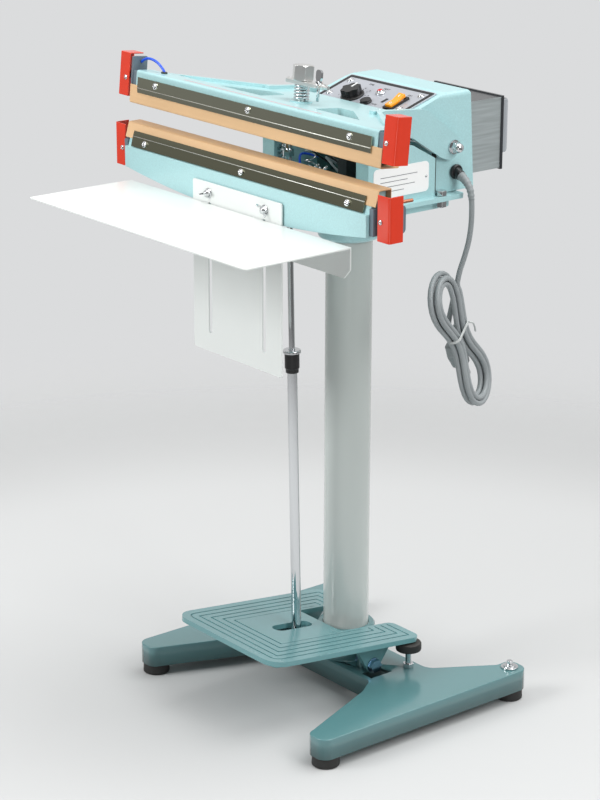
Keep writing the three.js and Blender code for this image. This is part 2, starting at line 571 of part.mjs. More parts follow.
function controlHousing() {
  const outer = outline([
    [HOUSING.rearY, HOUSING.bottomZ], [HOUSING.rearY, HOUSING.topZ, 5], [RIDGE.y, RIDGE.z, 6], [LIP.y, LIP.z, 2],
    [LIP.y, LIP.z - 9], [WALL.seamY + GAP, 739], [WALL.seamY + GAP, HOUSING.bottomZ],
  ]);
  const inside = outline([
    [HOUSING.rearY - HOUSING.wall, HOUSING.bottomZ - 20], [HOUSING.rearY - HOUSING.wall, HOUSING.topZ - HOUSING.wall],
    [RIDGE.y, RIDGE.z - HOUSING.wall], [LIP.y + HOUSING.wall, LIP.z - HOUSING.wall - 0.6],
    [LIP.y + HOUSING.wall, LIP.z - 30], [-40, LIP.z - 40], [-40, HOUSING.bottomZ - 20],
  ]);
  const shell = cut(housingPrism(0, outer), housingPrism(HOUSING.wall, inside));
  const shaftHole = cylinder(9, -130, 130, 20).applyMatrix4(TO_PLUS_X).translate(0, ARM_PIVOT.y, ARM_PIVOT.z);
  return cut(shell, shaftHole);
}

function controlPanel() {
  const plate = alongZ(rectangle(-PANEL.width / 2, -PANEL.length / 2, PANEL.width / 2, PANEL.length / 2, 2),
    GAP, GAP + PANEL.thickness);
  const [x, y] = ROCKER_AT;
  const bezelBottom = GAP + PANEL.thickness - 0.5;
  const bezel = alongZ(withHoles(rectangle(x - 8, y - 17, x + 8, y + 17, 2), rectangle(x - 6, y - 14, x + 6, y + 14, 1)),
    bezelBottom, bezelBottom + 3);
  return join(plate, bezel);
}

// The rocker stands tipped in its frame, one end pressed in.
function rockerSwitch() {
  const swing = THREE.MathUtils.degToRad(8);
  const profile = outline([[-13.2, -1.2], [13.2, -1.2], [13.2, 3.4], [0, 1.6], [-13.2, 3.4]]);
  return alongX(profile, -5.6, 5.6).rotateX(swing);
}

function timerKnob() {
  const grip = [];
  const lobes = 6;
  for (let i = 0; i < lobes * 8; i += 1) {
    const angle = (2 * Math.PI * i) / (lobes * 8);
    const radius = 12.2 + 1.3 * Math.cos(lobes * angle);
    grip.push([radius * Math.cos(angle), radius * Math.sin(angle)]);
  }
  return join(
    turned([[0, 0], [15.5, 0], [15.5, 1.6], [14.2, 2.6], [0, 2.6]], 32),
    alongZ(outline(grip), 2.4, 11.6),
    block([-1, 1], [2, 12.6], [11.2, 12.4]),
  );
}

const KNOB_AT = [-27, -14];
const FUSE_AT = [7, -21];
const LAMP_AT = [5, 6];
const ROCKER_AT = [51, -9];
piece(stand, "control_housing", controlHousing(), HEAD_PAINT);
piece(panelFace, "control_panel", controlPanel(), PANEL_STEEL);
piece(panelFace, "timer_knob", timerKnob(), BLACK_PLASTIC).position.set(...KNOB_AT, FACE);
piece(panelFace, "fuse_cap", turned([
  [0, 0], [7.8, 0], [7.8, 1.4], [7, 2], [7, 4], [6.2, 4.6], [0, 4.6],
], 24), BLACK_PLASTIC).position.set(...FUSE_AT, FACE);
piece(panelFace, "indicator_lamp", turned([
  [0, 0], [6.6, 0], [6.6, 1.4], [5, 2.4], [4.2, 2.4], [3.6, 4.2], [1.6, 5.2], [0, 5.4],
], 24), CHROME).position.set(...LAMP_AT, FACE);
piece(panelFace, "rocker_switch", rockerSwitch(), AMBER_PLASTIC).position.set(...ROCKER_AT, FACE + 3.4);

// ---------------------------------------------------------------- transformer and electrics
function transformerBell() {
  const { left, right, bottom, top, rearY } = BELL;
  const front = TRANSFORMER.rearY + GAP;
  const fromSide = alongX(rectangle(front - 12, bottom, rearY, top, 9), left, right);
  const fromAbove = alongZ(rectangle(left, front - 12, right, rearY, 9), bottom, top);
  return common(common(fromSide, fromAbove), block([left, right], [front, rearY], [bottom, top]));
}

const transformerCore = () => join(
  block([TRANSFORMER.left, TRANSFORMER.right], [TRANSFORMER.frontY, TRANSFORMER.plateY + 1],
    [TRANSFORMER.bottom, TRANSFORMER.top]),
  block([TRANSFORMER.left - 1.5, TRANSFORMER.right + 1.5], [TRANSFORMER.plateY, TRANSFORMER.rearY],
    [TRANSFORMER.bottom - 1.5, TRANSFORMER.top + 1.5]),
);

piece(stand, "transformer_core", transformerCore(), BLACK_STEEL);
piece(stand, "transformer_bell", transformerBell(), BLACK_STEEL);
piece(stand, "timer_board", join(
  block([-80, -10], [20, 24], [680, 728]),
  block([-70, -44], [4, 21], [690, 712]),
  block([-38, -18], [6, 21], [688, 706]),
), GREEN_BOARD);
piece(stand, "limit_switch", join(
  block([34, 54], [-52, -24], [HEAD_FLOOR.top + 0.3, 700]),
  block([36, 52], [-50, -30], [699, 728]),
), BLACK_PLASTIC);

// The nose of the gland droops, so that the cord leaves it on its way down.
function cordGland() {
  const nose = cylinder(6.6, -1, 9, 20).applyMatrix4(TO_PLUS_X)
    .rotateY(THREE.MathUtils.degToRad(25)).translate(2, 0, 0);
  const flange = turned([[0, 0], [9.4, 0], [9.4, 3], [8.2, 4.4], [0, 4.4]], 24).applyMatrix4(TO_PLUS_X);
  return cut(join(flange, nose), block([-20, 0], [-20, 20], [-20, 20]));
}
piece(stand, "cord_gland", cordGland(), BLACK_PLASTIC).position.set(98.3, 89.5, 701);

// ---------------------------------------------------------------- arm
function pivotShaft() {
  const head = (side) => join(
    cylinder(9, 105.4, 107.2, 24), hexagon(13, 107, 112.6),
    turned([[0, 112], [6.4, 112], [6.4, 115], [5.4, 118], [3, 119.6], [0, 120]], 24),
  ).rotate([0, side * 90, 0]);
  return join(cylinder(6, -107, 107, 20).applyMatrix4(TO_PLUS_X), head(1), head(-1));
}

function upperArm() {
  const { halfLength, frontY, rearY, bottom, top } = UPPER_BAR;
  const bar = cut(
    alongX(outline([[frontY, bottom], [rearY, bottom], [rearY, top, 3], [frontY, top, 3]]), -halfLength, halfLength, 4),
    block([-226, 226], [-157, rearY + 1], [752, ARM_PLATE.bottom]),
  );
  const legOuter = 105;
  const legInner = WALL.innerX;
  const plate = alongZ(outline(mirrored([
    [0, rearY - 2], [228, rearY - 2], [228, -132, 8], [legOuter, -46, 30], [legOuter, ARM_PLATE.rearY],
    [0, ARM_PLATE.rearY],
  ])), ARM_PLATE.bottom, ARM_PLATE.top);
  const rim = alongZ(outline(mirrored([
    [0, rearY - 2], [228, rearY - 2], [228, -132, 8], [legOuter, -46, 30], [legOuter, ARM_PLATE.rearY],
    [legInner, ARM_PLATE.rearY], [legInner, -48, 25], [206, -125, 3], [0, -125],
  ])), ARM_PLATE.bottom, ARM_PLATE.top + 4);
  const windows = SIDES.map(([, side]) => alongZ(outline([
    [side * 52, -116, 5], [side * 150, -116, 5], [side * 78, -66, 5], [side * 52, -66, 5],
  ]), 700, 800));
  const cheeks = SIDES.map(([, side]) => cut(
    alongX(outline([
      [-58, ARM_PLATE.top + 4], [-58, 763, 4], [10, 748, 15], [ARM_PIVOT.y - 18, ARM_PIVOT.z - 13.5],
      [ARM_PIVOT.y, ARM_PIVOT.z - 17.5, 14], [ARM_PIVOT.y + 17, ARM_PIVOT.z, 13], [ARM_PIVOT.y + 4, ARM_PIVOT.z + 14, 6],
      [32, ARM_PLATE.top + 2, 16], [24, ARM_PLATE.top + 4],
    ]), ...onSide(side, [legInner, legOuter])),
    cylinder(6.3, -130, 130, 20).applyMatrix4(TO_PLUS_X).translate(0, ARM_PIVOT.y, ARM_PIVOT.z),
  ));
  // lugs under the plate that hold the pull rod's pin, in oversize holes
  const pin = ROD_TOP.clone().sub(new THREE.Vector3(0, ARM_PIVOT.y, ARM_PIVOT.z))
    .applyAxisAngle(new THREE.Vector3(1, 0, 0), OPEN_ANGLE).add(new THREE.Vector3(0, ARM_PIVOT.y, ARM_PIVOT.z));
  const lugs = SIDES.map(([, side]) => cut(
    alongX(rectangle(pin.y - 8, pin.z - 8, pin.y + 8, ARM_PLATE.bottom + 1, 3), ...onSide(side, [7, 12])),
    cylinder(3.9, 6, 13, 14).rotateY((side * Math.PI) / 2).translate(0, pin.y, pin.z),
  ));
  const pressureBoss = alongZ(disc(0, PRESSURE_Y, 14), ARM_PLATE.bottom, ARM_PLATE.top + 1.5, 12);
  return join(cut(join(bar, plate, rim), ...windows), ...cheeks, ...lugs, pressureBoss);
}

// Cloth folded round the sealing edge of the upper bar: a channel.
const upperSealCover = () => alongX(outline([
  [-164.9, 766], [-164.9, 743.6, 1.6], [-163.3, 742.2, 1.4], [-137, 742.2, 1.6], [-136.6, 756],
  [-137.6, 756], [-137.6, 744.4], [-163.6, 744.4], [-163.9, 745], [-163.9, 766],
]), -JAW_COVER_HALF, JAW_COVER_HALF, 3);

const pressureSeat = ARM_PLATE.top + 1.5 + GAP;
const SPRING = { radius: 8.4, wire: 1.5, height: 19.5, turns: 5 };
const BAR_Z = pressureSeat + SPRING.height + GAP;

// Flat bar under the pressure nut; its stem goes down through the spring to the arm.
function bridgeBar() {
  return join(
    alongZ(withHoles(rectangle(-24, PRESSURE_Y - 9, 37, PRESSURE_Y + 9, 3), disc(31, PRESSURE_Y, 3.6)), BAR_Z, BAR_Z + 4.4),
    cylinder(5.4, pressureSeat, BAR_Z + 1, 16).translate(0, PRESSURE_Y, 0),
    cylinder(3, -28, -23, 12).applyMatrix4(TO_PLUS_X).translate(0, PRESSURE_Y, BAR_Z + 2.2),
    hexagon(7, 36, 41).applyMatrix4(TO_PLUS_X).translate(0, PRESSURE_Y, BAR_Z + 2.2),
    cylinder(2.6, 40, 49, 12).applyMatrix4(TO_PLUS_X).translate(0, PRESSURE_Y, BAR_Z + 2.2),
  );
}

// Adjusting screw with a flat thumb piece; its thin rod works the switch.
function thumbScrew() {
  return join(
    cylinder(1.9, ARM_PLATE.top + 4.6, BAR_Z + 8, 12),
    cylinder(5, BAR_Z + 4.4 + GAP, BAR_Z + 7.4, 16),
    alongY(outline([[-3, BAR_Z + 7], [3, BAR_Z + 7], [5, BAR_Z + 12, 3], [5, BAR_Z + 22, 4], [-5, BAR_Z + 22, 4], [-5, BAR_Z + 12, 3]]),
      -1.6, 1.6),
  );
}

function pressureNut() {
  const low = BAR_Z + 4.4 + GAP;
  const dished = turned([[0, low], [12.2, low], [13.9, low + 1.4], [13.9, low + 17.6], [12.2, low + 19], [0, low + 19]], 24);
  return common(hexagon(24, low, low + 19), dished);
}

piece(arm, "upper_arm", upperArm(), HEAD_PAINT);
piece(arm, "upper_seal_cover", upperSealCover(), PTFE_CLOTH);
piece(arm, "upper_element", block([-232, 232], [-155, -147], [744.8, 745.4]), ELEMENT);
piece(arm, "upper_cover_strip", coverStrip(upperStripSection, -166.0, 770.6, 190, 0), STRIP_STEEL);
for (const [name, side] of SIDES) {
  piece(arm, `upper_cap_${name}`, endCap(side, -166.5, -145, 749.6, 805.2, true), RED_PLASTIC);
  const profile = [[-163.4, 801, 2], [-163.4, 752, 2], [-141, 752, 2], [-141, 801, 2]];
  piece(arm, `upper_end_plate_${name}`, endPlate(side, profile, [-162, -148], [757, 783], UPPER_BAR.halfLength), INSULATOR);
}
piece(arm, "pressure_spring", coil(SPRING.radius, SPRING.wire, SPRING.height, SPRING.turns), CHROME)
  .position.set(0, PRESSURE_Y, pressureSeat);
piece(arm, "bridge_bar", bridgeBar(), CHROME);
piece(arm, "pressure_nut", pressureNut(), CHROME).position.set(0, PRESSURE_Y, 0);
piece(arm, "thumb_screw", thumbScrew(), CHROME).position.set(31, PRESSURE_Y, 0);
piece(arm, "jumper_wire", swept([
  [-243.6, -151, 794], [-238, -151, 795.5], [-228, -149.5, 796.5], [-216, -147.5, 794], [-206, -146, 791.2],
  [-201, -145.5, 787.6],
], 1.7, 20, 8), BLUE_PLASTIC);
piece(stand, "pivot_shaft", pivotShaft().translate([0, ARM_PIVOT.y, ARM_PIVOT.z]), CHROME);

const RETURN_SPRING = { x: -30, y: -40, height: 101.8 };
piece(stand, "return_spring", coil(7, 1.1, RETURN_SPRING.height, 8), STEEL)
  .position.set(RETURN_SPRING.x, RETURN_SPRING.y, HEAD_FLOOR.top + GAP);

// ---------------------------------------------------------------- work table
function tableBackplate() {
  const slots = SIDES.map(([, side]) =>
    rectangle(side * TABLE_SLOT.x - TABLE_SLOT.width / 2, TABLE_SLOT.bottom,
      side * TABLE_SLOT.x + TABLE_SLOT.width / 2, TABLE_SLOT.top, 3.4));
  const boltHoles = SIDES.map(([, side]) => disc(side * WING.x, WING.z, 3.4));
  const plate = rectangle(-BACKPLATE.halfWidth, BACKPLATE.bottom, BACKPLATE.halfWidth, BACKPLATE.top, 3);
  return alongY(withHoles(plate, ...slots, ...boltHoles), BACKPLATE.frontY, BACKPLATE.rearY, 5);
}

function tableShelf() {
  const { halfWidth, frontY, rearY, top, thickness, flangeDrop } = SHELF;
  const sheet = alongZ(outline([
    [-halfWidth, frontY, 4], [halfWidth, frontY, 4], [halfWidth, rearY], [-halfWidth, rearY],
  ]), top - thickness, top);
  const flange = alongX(outline([
    [rearY, top], [rearY, top - flangeDrop, 0.5], [rearY + thickness, top - flangeDrop, 0.5], [rearY + thickness, top],
  ]), -halfWidth, halfWidth);
  const flangeEnds = alongY(outline([
    [-halfWidth, top + 1], [-halfWidth, top - flangeDrop + 12], [-halfWidth + 12, top - flangeDrop - 1],
    [halfWidth - 12, top - flangeDrop - 1], [halfWidth, top - flangeDrop + 12], [halfWidth, top + 1],
  ]), frontY - 1, rearY + thickness + 1);
  return cut(common(join(sheet, flange), flangeEnds),
    ...SIDES.map(([, side]) => alongY(disc(side * TABLE_SLOT.x, SHELF_BOLT_Z, 3.4), rearY - 1, rearY + 5, 6)));
}

// Two bolts through the flange and the slots, joined by the clamping bar behind the plate.
function shelfClamp() {
  const barFront = BACKPLATE.rearY + GAP;
  const bar = alongY(rectangle(-66, SHELF_BOLT_Z - 6, 66, SHELF_BOLT_Z + 6, 2), barFront, barFront + 0.6);
  const bolts = SIDES.map(([, side]) => join(
    cylinder(3, 0, 10.8, 12), hexagon(10, 6.9, 11),
  ).rotate([90, 0, 0]).translate([side * TABLE_SLOT.x, barFront + 0.3, SHELF_BOLT_Z]));
  return join(bar, ...bolts);
}

// A wing bolt seen from the front: a round head with one flat wing to each side.
function wingBolt() {
  const head = turned([[0, 0.3], [5.6, 0.3], [5.6, 3.4], [4.2, 4.6], [0, 4.6]], 20);
  const wings = alongZ(outline([[-10.6, -2.4, 2.3], [10.6, -2.4, 2.3], [10.6, 2.4, 2.3], [-10.6, 2.4, 2.3]]), 1.6, 3.6)
    .rotateZ(THREE.MathUtils.degToRad(12));
  return join(head, wings, cylinder(2.9, -14, 1, 12)).rotate([90, 0, 0]);
}

const SHELF_BOLT_Z = SHELF.top - 20;
piece(stand, "table_backplate", tableBackplate(), SHELF_PAINT);
piece(stand, "table_shelf", tableShelf(), SHELF_PAINT);
piece(stand, "shelf_clamp", shelfClamp(), STEEL);
for (const [name, side] of SIDES) {
  piece(stand, `wing_bolt_${name}`, wingBolt(), CHROME).position.set(side * WING.x, BACKPLATE.frontY, WING.z);
}

// ---------------------------------------------------------------- mains cord
// The cord hangs from its gland and carries the rest of its length as a tied hank.
const CORD_ROUTE = [
  [108.8, 89.5, 697.1], [112.4, 89.5, 695.4], [120.4, 89.5, 689.8], [126, 89.6, 681.8], [128.6, 89.8, 670.5],
  [129.2, 90, 655], [128.9, 89.6, 637], [127.2, 87.8, 617], [124, 84.6, 598], [121.2, 81.6, 584], [120, 80.2, 577],
];
const HANK = {
  x: 129, y: 76, z: 491, halfThickness: 7.7, halfRun: 61.6, foldRadius: 38,
  lean: THREE.MathUtils.degToRad(26), twist: THREE.MathUtils.degToRad(25),
};
const PLUG = { outOfHank: -24, alongHank: -35, acrossHank: 20 };

// Stands a piece in the hank: out of its plane, along its length, and across it towards the back.
function putInHank(mesh, out, along, across) {
  const { x, y, z, lean, twist } = HANK;
  const level = across * Math.cos(twist) + out * Math.sin(twist);
  mesh.position.set(
    x + out * Math.cos(twist) - across * Math.sin(twist),
    y - along * Math.sin(lean) + level * Math.cos(lean),
    z + along * Math.cos(lean) + level * Math.sin(lean),
  );
  mesh.rotation.set(lean, 0, twist);
}

function cordHank() {
  const { halfThickness, halfRun, foldRadius } = HANK;
  const shape = rectangle(-foldRadius, -halfRun - foldRadius, foldRadius, halfRun + foldRadius, foldRadius - 0.01);
  return alongX(shape, -halfThickness, halfThickness, 8);
}

function cordPlug() {
  return join(
    alongZ(rectangle(-13, -11, 13, 11, 6), -18, 14),
    turned([[0, 13], [8, 13], [5, 30], [0, 30]], 16),
    block([-7, -5.5], [-3, 3], [-36, -17]),
    block([5.5, 7], [-3, 3], [-36, -17]),
  );
}

piece(stand, "cord_lead", swept(CORD_ROUTE, CORD.radius, 26, 10), CORD_GREY);
putInHank(piece(stand, "cord_hank", cordHank(), CORD_GREY), 0, 0, 0);
putInHank(piece(stand, "cord_plug", cordPlug(), CORD_GREY), PLUG.outOfHank, PLUG.alongHank, PLUG.acrossHank);

export default machine;
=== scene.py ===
"""Looks of a foot-operated impulse heat sealer on a column stand.

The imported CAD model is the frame. Each sub-assembly below is a class that gives its CAD nodes their
finish, adds the small pieces that the CAD model leaves out, and reports every piece it makes.
"""

import logging
import math
from dataclasses import dataclass
from enum import Enum
from typing import Callable, Iterable, Sequence

import bmesh
import bpy
from mathutils import Matrix, Vector


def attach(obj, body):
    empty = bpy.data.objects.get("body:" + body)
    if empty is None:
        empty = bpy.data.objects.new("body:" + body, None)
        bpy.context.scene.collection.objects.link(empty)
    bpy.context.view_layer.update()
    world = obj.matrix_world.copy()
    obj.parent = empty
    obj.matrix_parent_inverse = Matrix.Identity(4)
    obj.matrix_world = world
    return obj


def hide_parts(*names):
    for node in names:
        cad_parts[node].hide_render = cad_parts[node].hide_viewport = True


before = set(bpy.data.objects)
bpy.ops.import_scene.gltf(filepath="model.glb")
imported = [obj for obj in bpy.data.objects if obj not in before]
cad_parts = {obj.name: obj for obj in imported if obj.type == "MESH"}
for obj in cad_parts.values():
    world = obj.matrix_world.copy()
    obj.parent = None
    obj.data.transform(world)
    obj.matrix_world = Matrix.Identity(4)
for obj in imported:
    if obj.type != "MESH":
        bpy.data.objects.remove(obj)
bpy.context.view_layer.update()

LOG = logging.getLogger("heat_sealer")
MM = 0.001
COLUMN_Y = 59.0  # the column's axis stands this far behind the middle of the machine
ARM_PIVOT = Vector((0.0, 79.0, 735.0))  # the arm's hinge, from the column's axis
OPEN_ANGLE = math.radians(5.6)  # how far the arm stands open at rest
RIDGE = (79.0, 800.0)  # (y, z) where the housing's top turns down into its sloping front
LIP = (5.0, 775.9)  # (y, z) of the lower edge of that slope
PANEL_DROP = 41.0  # from the ridge down the slope to the middle of the panel
PANEL_FACE = 1.9  # height of the panel's outer face over the slope
FITTING_GAP = 0.3  # how far the panel's fittings stand off its face
SAME_PLACE = 2e-6  # corners closer than this, in metres, are one corner
SHARP_EDGE = math.radians(38)  # an edge is rounded when its faces turn by more than this
DUST_COLOR = 0xB9B4AA
BUMP_STRENGTH = 0.6
COAT_ROUGHNESS = 0.12


# ------------------------------------------------------------------ places
def place(x: float, y: float, z: float) -> Vector:
    """Returns a point, in millimetres from the column's axis, in the row frame, in metres."""
    return Vector((x, y + COLUMN_Y, z)) * MM


def row_matrix() -> Matrix:
    """Returns the matrix that does for a whole mesh what place() does for a point."""
    return Matrix.Scale(MM, 4) @ Matrix.Translation((0.0, COLUMN_Y, 0.0))


def open_arm() -> Matrix:
    """Returns the matrix from the closed arm, in millimetres, to the open arm in the row frame."""
    swing = Matrix.Rotation(-OPEN_ANGLE, 4, "X")
    return row_matrix() @ Matrix.Translation(ARM_PIVOT) @ swing @ Matrix.Translation(-ARM_PIVOT)


def panel_plane() -> Matrix:
    """Places the panel's own plane on the sloping front of the housing.

    Returns:
        The matrix from that plane, in millimetres, to the row frame.
    """
    slope = math.atan2(RIDGE[1] - LIP[1], RIDGE[0] - LIP[0])
    middle = Vector(
        (0.0, RIDGE[0] - PANEL_DROP * math.cos(slope), RIDGE[1] - PANEL_DROP * math.sin(slope))
    )
    return row_matrix() @ Matrix.Translation(middle) @ Matrix.Rotation(slope, 4, "X")


def facing(x: float, y: float, z: float, direction: Sequence[float]) -> Matrix:
    """Returns a matrix that stands a piece, built along +Z, at a point, looking in a direction.

    Args:
        x, y, z: the point, in millimetres from the column's axis.
        direction: where the piece's +Z points.

    Returns:
        The matrix, in millimetres from the column's axis.
    """
    turn = Vector(direction).to_track_quat("Z", "Y").to_matrix().to_4x4()
    return Matrix.Translation((x, y, z)) @ turn


# ------------------------------------------------------------------ shared surface effects
class Skin(Enum):
    """The relief and mottle that a finish has, each one a shader node group."""

    HAMMERED = "hammered_enamel"
    MOULDED = "moulded_grain"
    BRUSHED = "brushed_lines"
    WOVEN = "woven_glass_cloth"
    LAYERED = "stacked_sheets"
    SHEATH = "soft_sheath"


class Graph:
    """Adds and links the nodes of one node tree."""

    def __init__(self, tree: bpy.types.NodeTree) -> None:
        """Keeps the tree that nodes are added to."""
        self.tree = tree

    def add(self, kind: str, inputs: dict | None = None, **settings: object) -> bpy.types.Node:
        """Adds a node.

        Args:
            kind: the node's type, without the ShaderNode prefix.
            inputs: socket name or number to a value or a socket to link.
            settings: properties of the node.

        Returns:
            The new node.
        """
        node = self.tree.nodes.new("ShaderNode" + kind)
        for name, value in settings.items():
            setattr(node, name, value)
        for name, value in (inputs or {}).items():
            if isinstance(value, bpy.types.NodeSocket):
                self.tree.links.new(value, node.inputs[name])
            else:
                node.inputs[name].default_value = value
        return node

    def math(self, operation: str, a: object, b: object = 0.0) -> bpy.types.NodeSocket:
        """Returns the result of a math node on two numbers or sockets."""
        return self.add("Math", {0: a, 1: b}, operation=operation).outputs[0]


def new_group(
    name: str, inputs: dict[str, float], outputs: Iterable[str]
) -> tuple[Graph, bpy.types.Node, bpy.types.Node]:
    """Starts a shader node group.

    Args:
        name: the group's name.
        inputs: name of each number input, and its usual value.
        outputs: names of the number outputs.

    Returns:
        The group's graph, its input node and its output node.
    """
    tree = bpy.data.node_groups.new(name, "ShaderNodeTree")
    for label, value in inputs.items():
        socket = tree.interface.new_socket(
            name=label, in_out="INPUT", socket_type="NodeSocketFloat"
        )
        socket.default_value = value
    for label in outputs:
        tree.interface.new_socket(name=label, in_out="OUTPUT", socket_type="NodeSocketFloat")
    return Graph(tree), tree.nodes.new("NodeGroupInput"), tree.nodes.new("NodeGroupOutput")


def skin_group(skin: Skin) -> bpy.types.NodeTree:
    """Returns the node group of a skin, built once.

    Args:
        skin: which relief it is.

    Returns:
        A group with the input Scale, in features a metre, and the outputs Height and Mottle.
    """
    if skin.value in bpy.data.node_groups:
        return bpy.data.node_groups[skin.value]
    graph, given, result = new_group(skin.value, {"Scale": 400.0}, ("Height", "Mottle"))
    spot = graph.add("TexCoord").outputs["Object"]
    scale = given.outputs["Scale"]
    grain = {"Vector": spot, "Scale": scale, "Detail": 3.0, "Roughness": 0.55}
    fine = graph.add("TexNoise", grain).outputs["Fac"]
    broad_scale = graph.math("MULTIPLY", scale, 0.03)
    broad = graph.add("TexNoise", {"Vector": spot, "Scale": broad_scale, "Detail": 2.0}).outputs[
        "Fac"
    ]
    height, mottle = fine, broad
    if skin is Skin.HAMMERED:
        cells = graph.add(
            "TexVoronoi", {"Vector": spot, "Scale": scale, "Smoothness": 0.8}, feature="SMOOTH_F1"
        )
        dents = graph.math("MULTIPLY", cells.outputs["Distance"], 1.6)
        height = graph.math("ADD", dents, graph.math("MULTIPLY", fine, 0.35))
        mottle = graph.math(
            "ADD", graph.math("MULTIPLY", dents, 0.5), graph.math("MULTIPLY", broad, 0.5)
        )
    elif skin is Skin.BRUSHED:
        along = graph.add("Mapping", {"Vector": spot, "Scale": (0.02, 1.0, 1.0)}).outputs["Vector"]
        height = graph.add("TexNoise", {"Vector": along, "Scale": scale, "Detail": 4.0}).outputs[
            "Fac"
        ]
        mottle = height
    elif skin is Skin.WOVEN:
        warp = graph.add("TexWave", {"Vector": spot, "Scale": scale}, bands_direction="X").outputs[
            "Fac"
        ]
        weft = graph.add("TexWave", {"Vector": spot, "Scale": scale}, bands_direction="Y").outputs[
            "Fac"
        ]
        rise = graph.add("TexWave", {"Vector": spot, "Scale": scale}, bands_direction="Z").outputs[
            "Fac"
        ]
        height = graph.math("MULTIPLY", graph.math("MAXIMUM", weft, rise), warp)
        mottle = graph.math(
            "ADD", graph.math("MULTIPLY", broad, 0.75), graph.math("MULTIPLY", height, 0.25)
        )
    elif skin is Skin.LAYERED:
        sheets = graph.add(
            "TexWave", {"Vector": spot, "Scale": scale, "Distortion": 0.25}, bands_direction="Z"
        )
        height = sheets.outputs["Fac"]
        across = graph.add("Mapping", {"Vector": spot, "Scale": (0.05, 0.05, 1.0)}).outputs[
            "Vector"
        ]
        mottle = graph.add("TexNoise", {"Vector": across, "Scale": scale, "Detail": 1.0}).outputs[
            "Fac"
        ]
    graph.tree.links.new(height, result.inputs["Height"])
    graph.tree.links.new(mottle, result.inputs["Mottle"])
    return graph.tree


def dust_group() -> bpy.types.NodeTree:
    """Builds the node group for settled dust, once.

    Returns:
        A group with the input Cover and the output Mask.
    """
    name = "settled_dust"
    if name in bpy.data.node_groups:
        return bpy.data.node_groups[name]
    graph, given, result = new_group(name, {"Cover": 0.1}, ("Mask",))
    spot = graph.add("TexCoord").outputs["Object"]
    grain = {"Vector": spot, "Scale": 90.0, "Detail": 6.0, "Roughness": 0.7}
    specks = graph.add("TexNoise", grain).outputs["Fac"]
    upward = graph.add("SeparateXYZ", {0: graph.add("NewGeometry").outputs["Normal"]}).outputs["Z"]
    lying = graph.math("MULTIPLY", graph.math("MAXIMUM", upward, 0.15), specks)
    mask = graph.math("MULTIPLY", lying, given.outputs["Cover"])
    graph.tree.links.new(mask, result.inputs["Mask"])
    return graph.tree


def linear(hex_color: int) -> tuple[float, float, float, float]:
    """Turns a screen colour into the linear colour that a shader takes.

    Args:
        hex_color: the colour, as 0xRRGGBB.

    Returns:
        Its linear red, green, blue and alpha.
    """
    channels = [((hex_color >> shift) & 255) / 255 for shift in (16, 8, 0)]
    levels = [c / 12.92 if c <= 0.04045 else ((c + 0.055) / 1.055) ** 2.4 for c in channels]
    return (levels[0], levels[1], levels[2], 1.0)


@dataclass(frozen=True)
class Finish:
    """One surface finish. Relief is in millimetres, and scale in features a metre."""

    name: str
    slot: str
    color: int
    roughness: float
    skin: Skin = Skin.MOULDED
    scale: float = 900.0
    relief: float = 0.03
    mottle: float = 0.05
    gloss_change: float = 0.06
    metallic: float = 0.0
    coat: float = 0.0
    dust: float = 0.0
    glow: float = 0.0

    def material(self) -> bpy.types.Material:
        """Builds this finish as a material, once.

        Returns:
            The material.
        """
        if self.name in bpy.data.materials:
            return bpy.data.materials[self.name]
        made = bpy.data.materials.new(self.name)
        made.use_nodes = True
        graph = Graph(made.node_tree)
        shader = made.node_tree.nodes["Principled BSDF"]
        skin = graph.add("Group")
        skin.node_tree = skin_group(self.skin)
        skin.inputs["Scale"].default_value = self.scale
        base = linear(self.color)
        dark = [c * (1 - 2 * self.mottle) for c in base[:3]] + [1.0]
        light = [min(c * (1 + 2 * self.mottle), 1.0) for c in base[:3]] + [1.0]
        tones = {0: skin.outputs["Mottle"], 6: dark, 7: light}
        tone = graph.add("Mix", tones, data_type="RGBA").outputs[2]
        dust = graph.add("Group")
        dust.node_tree = dust_group()
        dust.inputs["Cover"].default_value = self.dust
        tones = {0: dust.outputs["Mask"], 6: tone, 7: linear(DUST_COLOR)}
        dusty = graph.add("Mix", tones, data_type="RGBA").outputs[2]
        dull = graph.math("MULTIPLY", dust.outputs["Mask"], 0.5)
        change = graph.math("MULTIPLY", skin.outputs["Mottle"], self.gloss_change)
        rough = graph.math(
            "ADD", graph.math("ADD", change, self.roughness - self.gloss_change / 2), dull
        )
        bump = graph.add("Bump", {
            "Height": skin.outputs["Height"],
            "Strength": BUMP_STRENGTH,
            "Distance": self.relief * MM,
        })
        link = made.node_tree.links.new
        link(dusty, shader.inputs["Base Color"])
        link(rough, shader.inputs["Roughness"])
        link(bump.outputs["Normal"], shader.inputs["Normal"])
        shader.inputs["Metallic"].default_value = self.metallic
        shader.inputs["Coat Weight"].default_value = self.coat
        shader.inputs["Coat Roughness"].default_value = COAT_ROUGHNESS
        shader.inputs["Emission Color"].default_value = base
        shader.inputs["Emission Strength"].default_value = self.glow
        made.diffuse_color = base
        return made


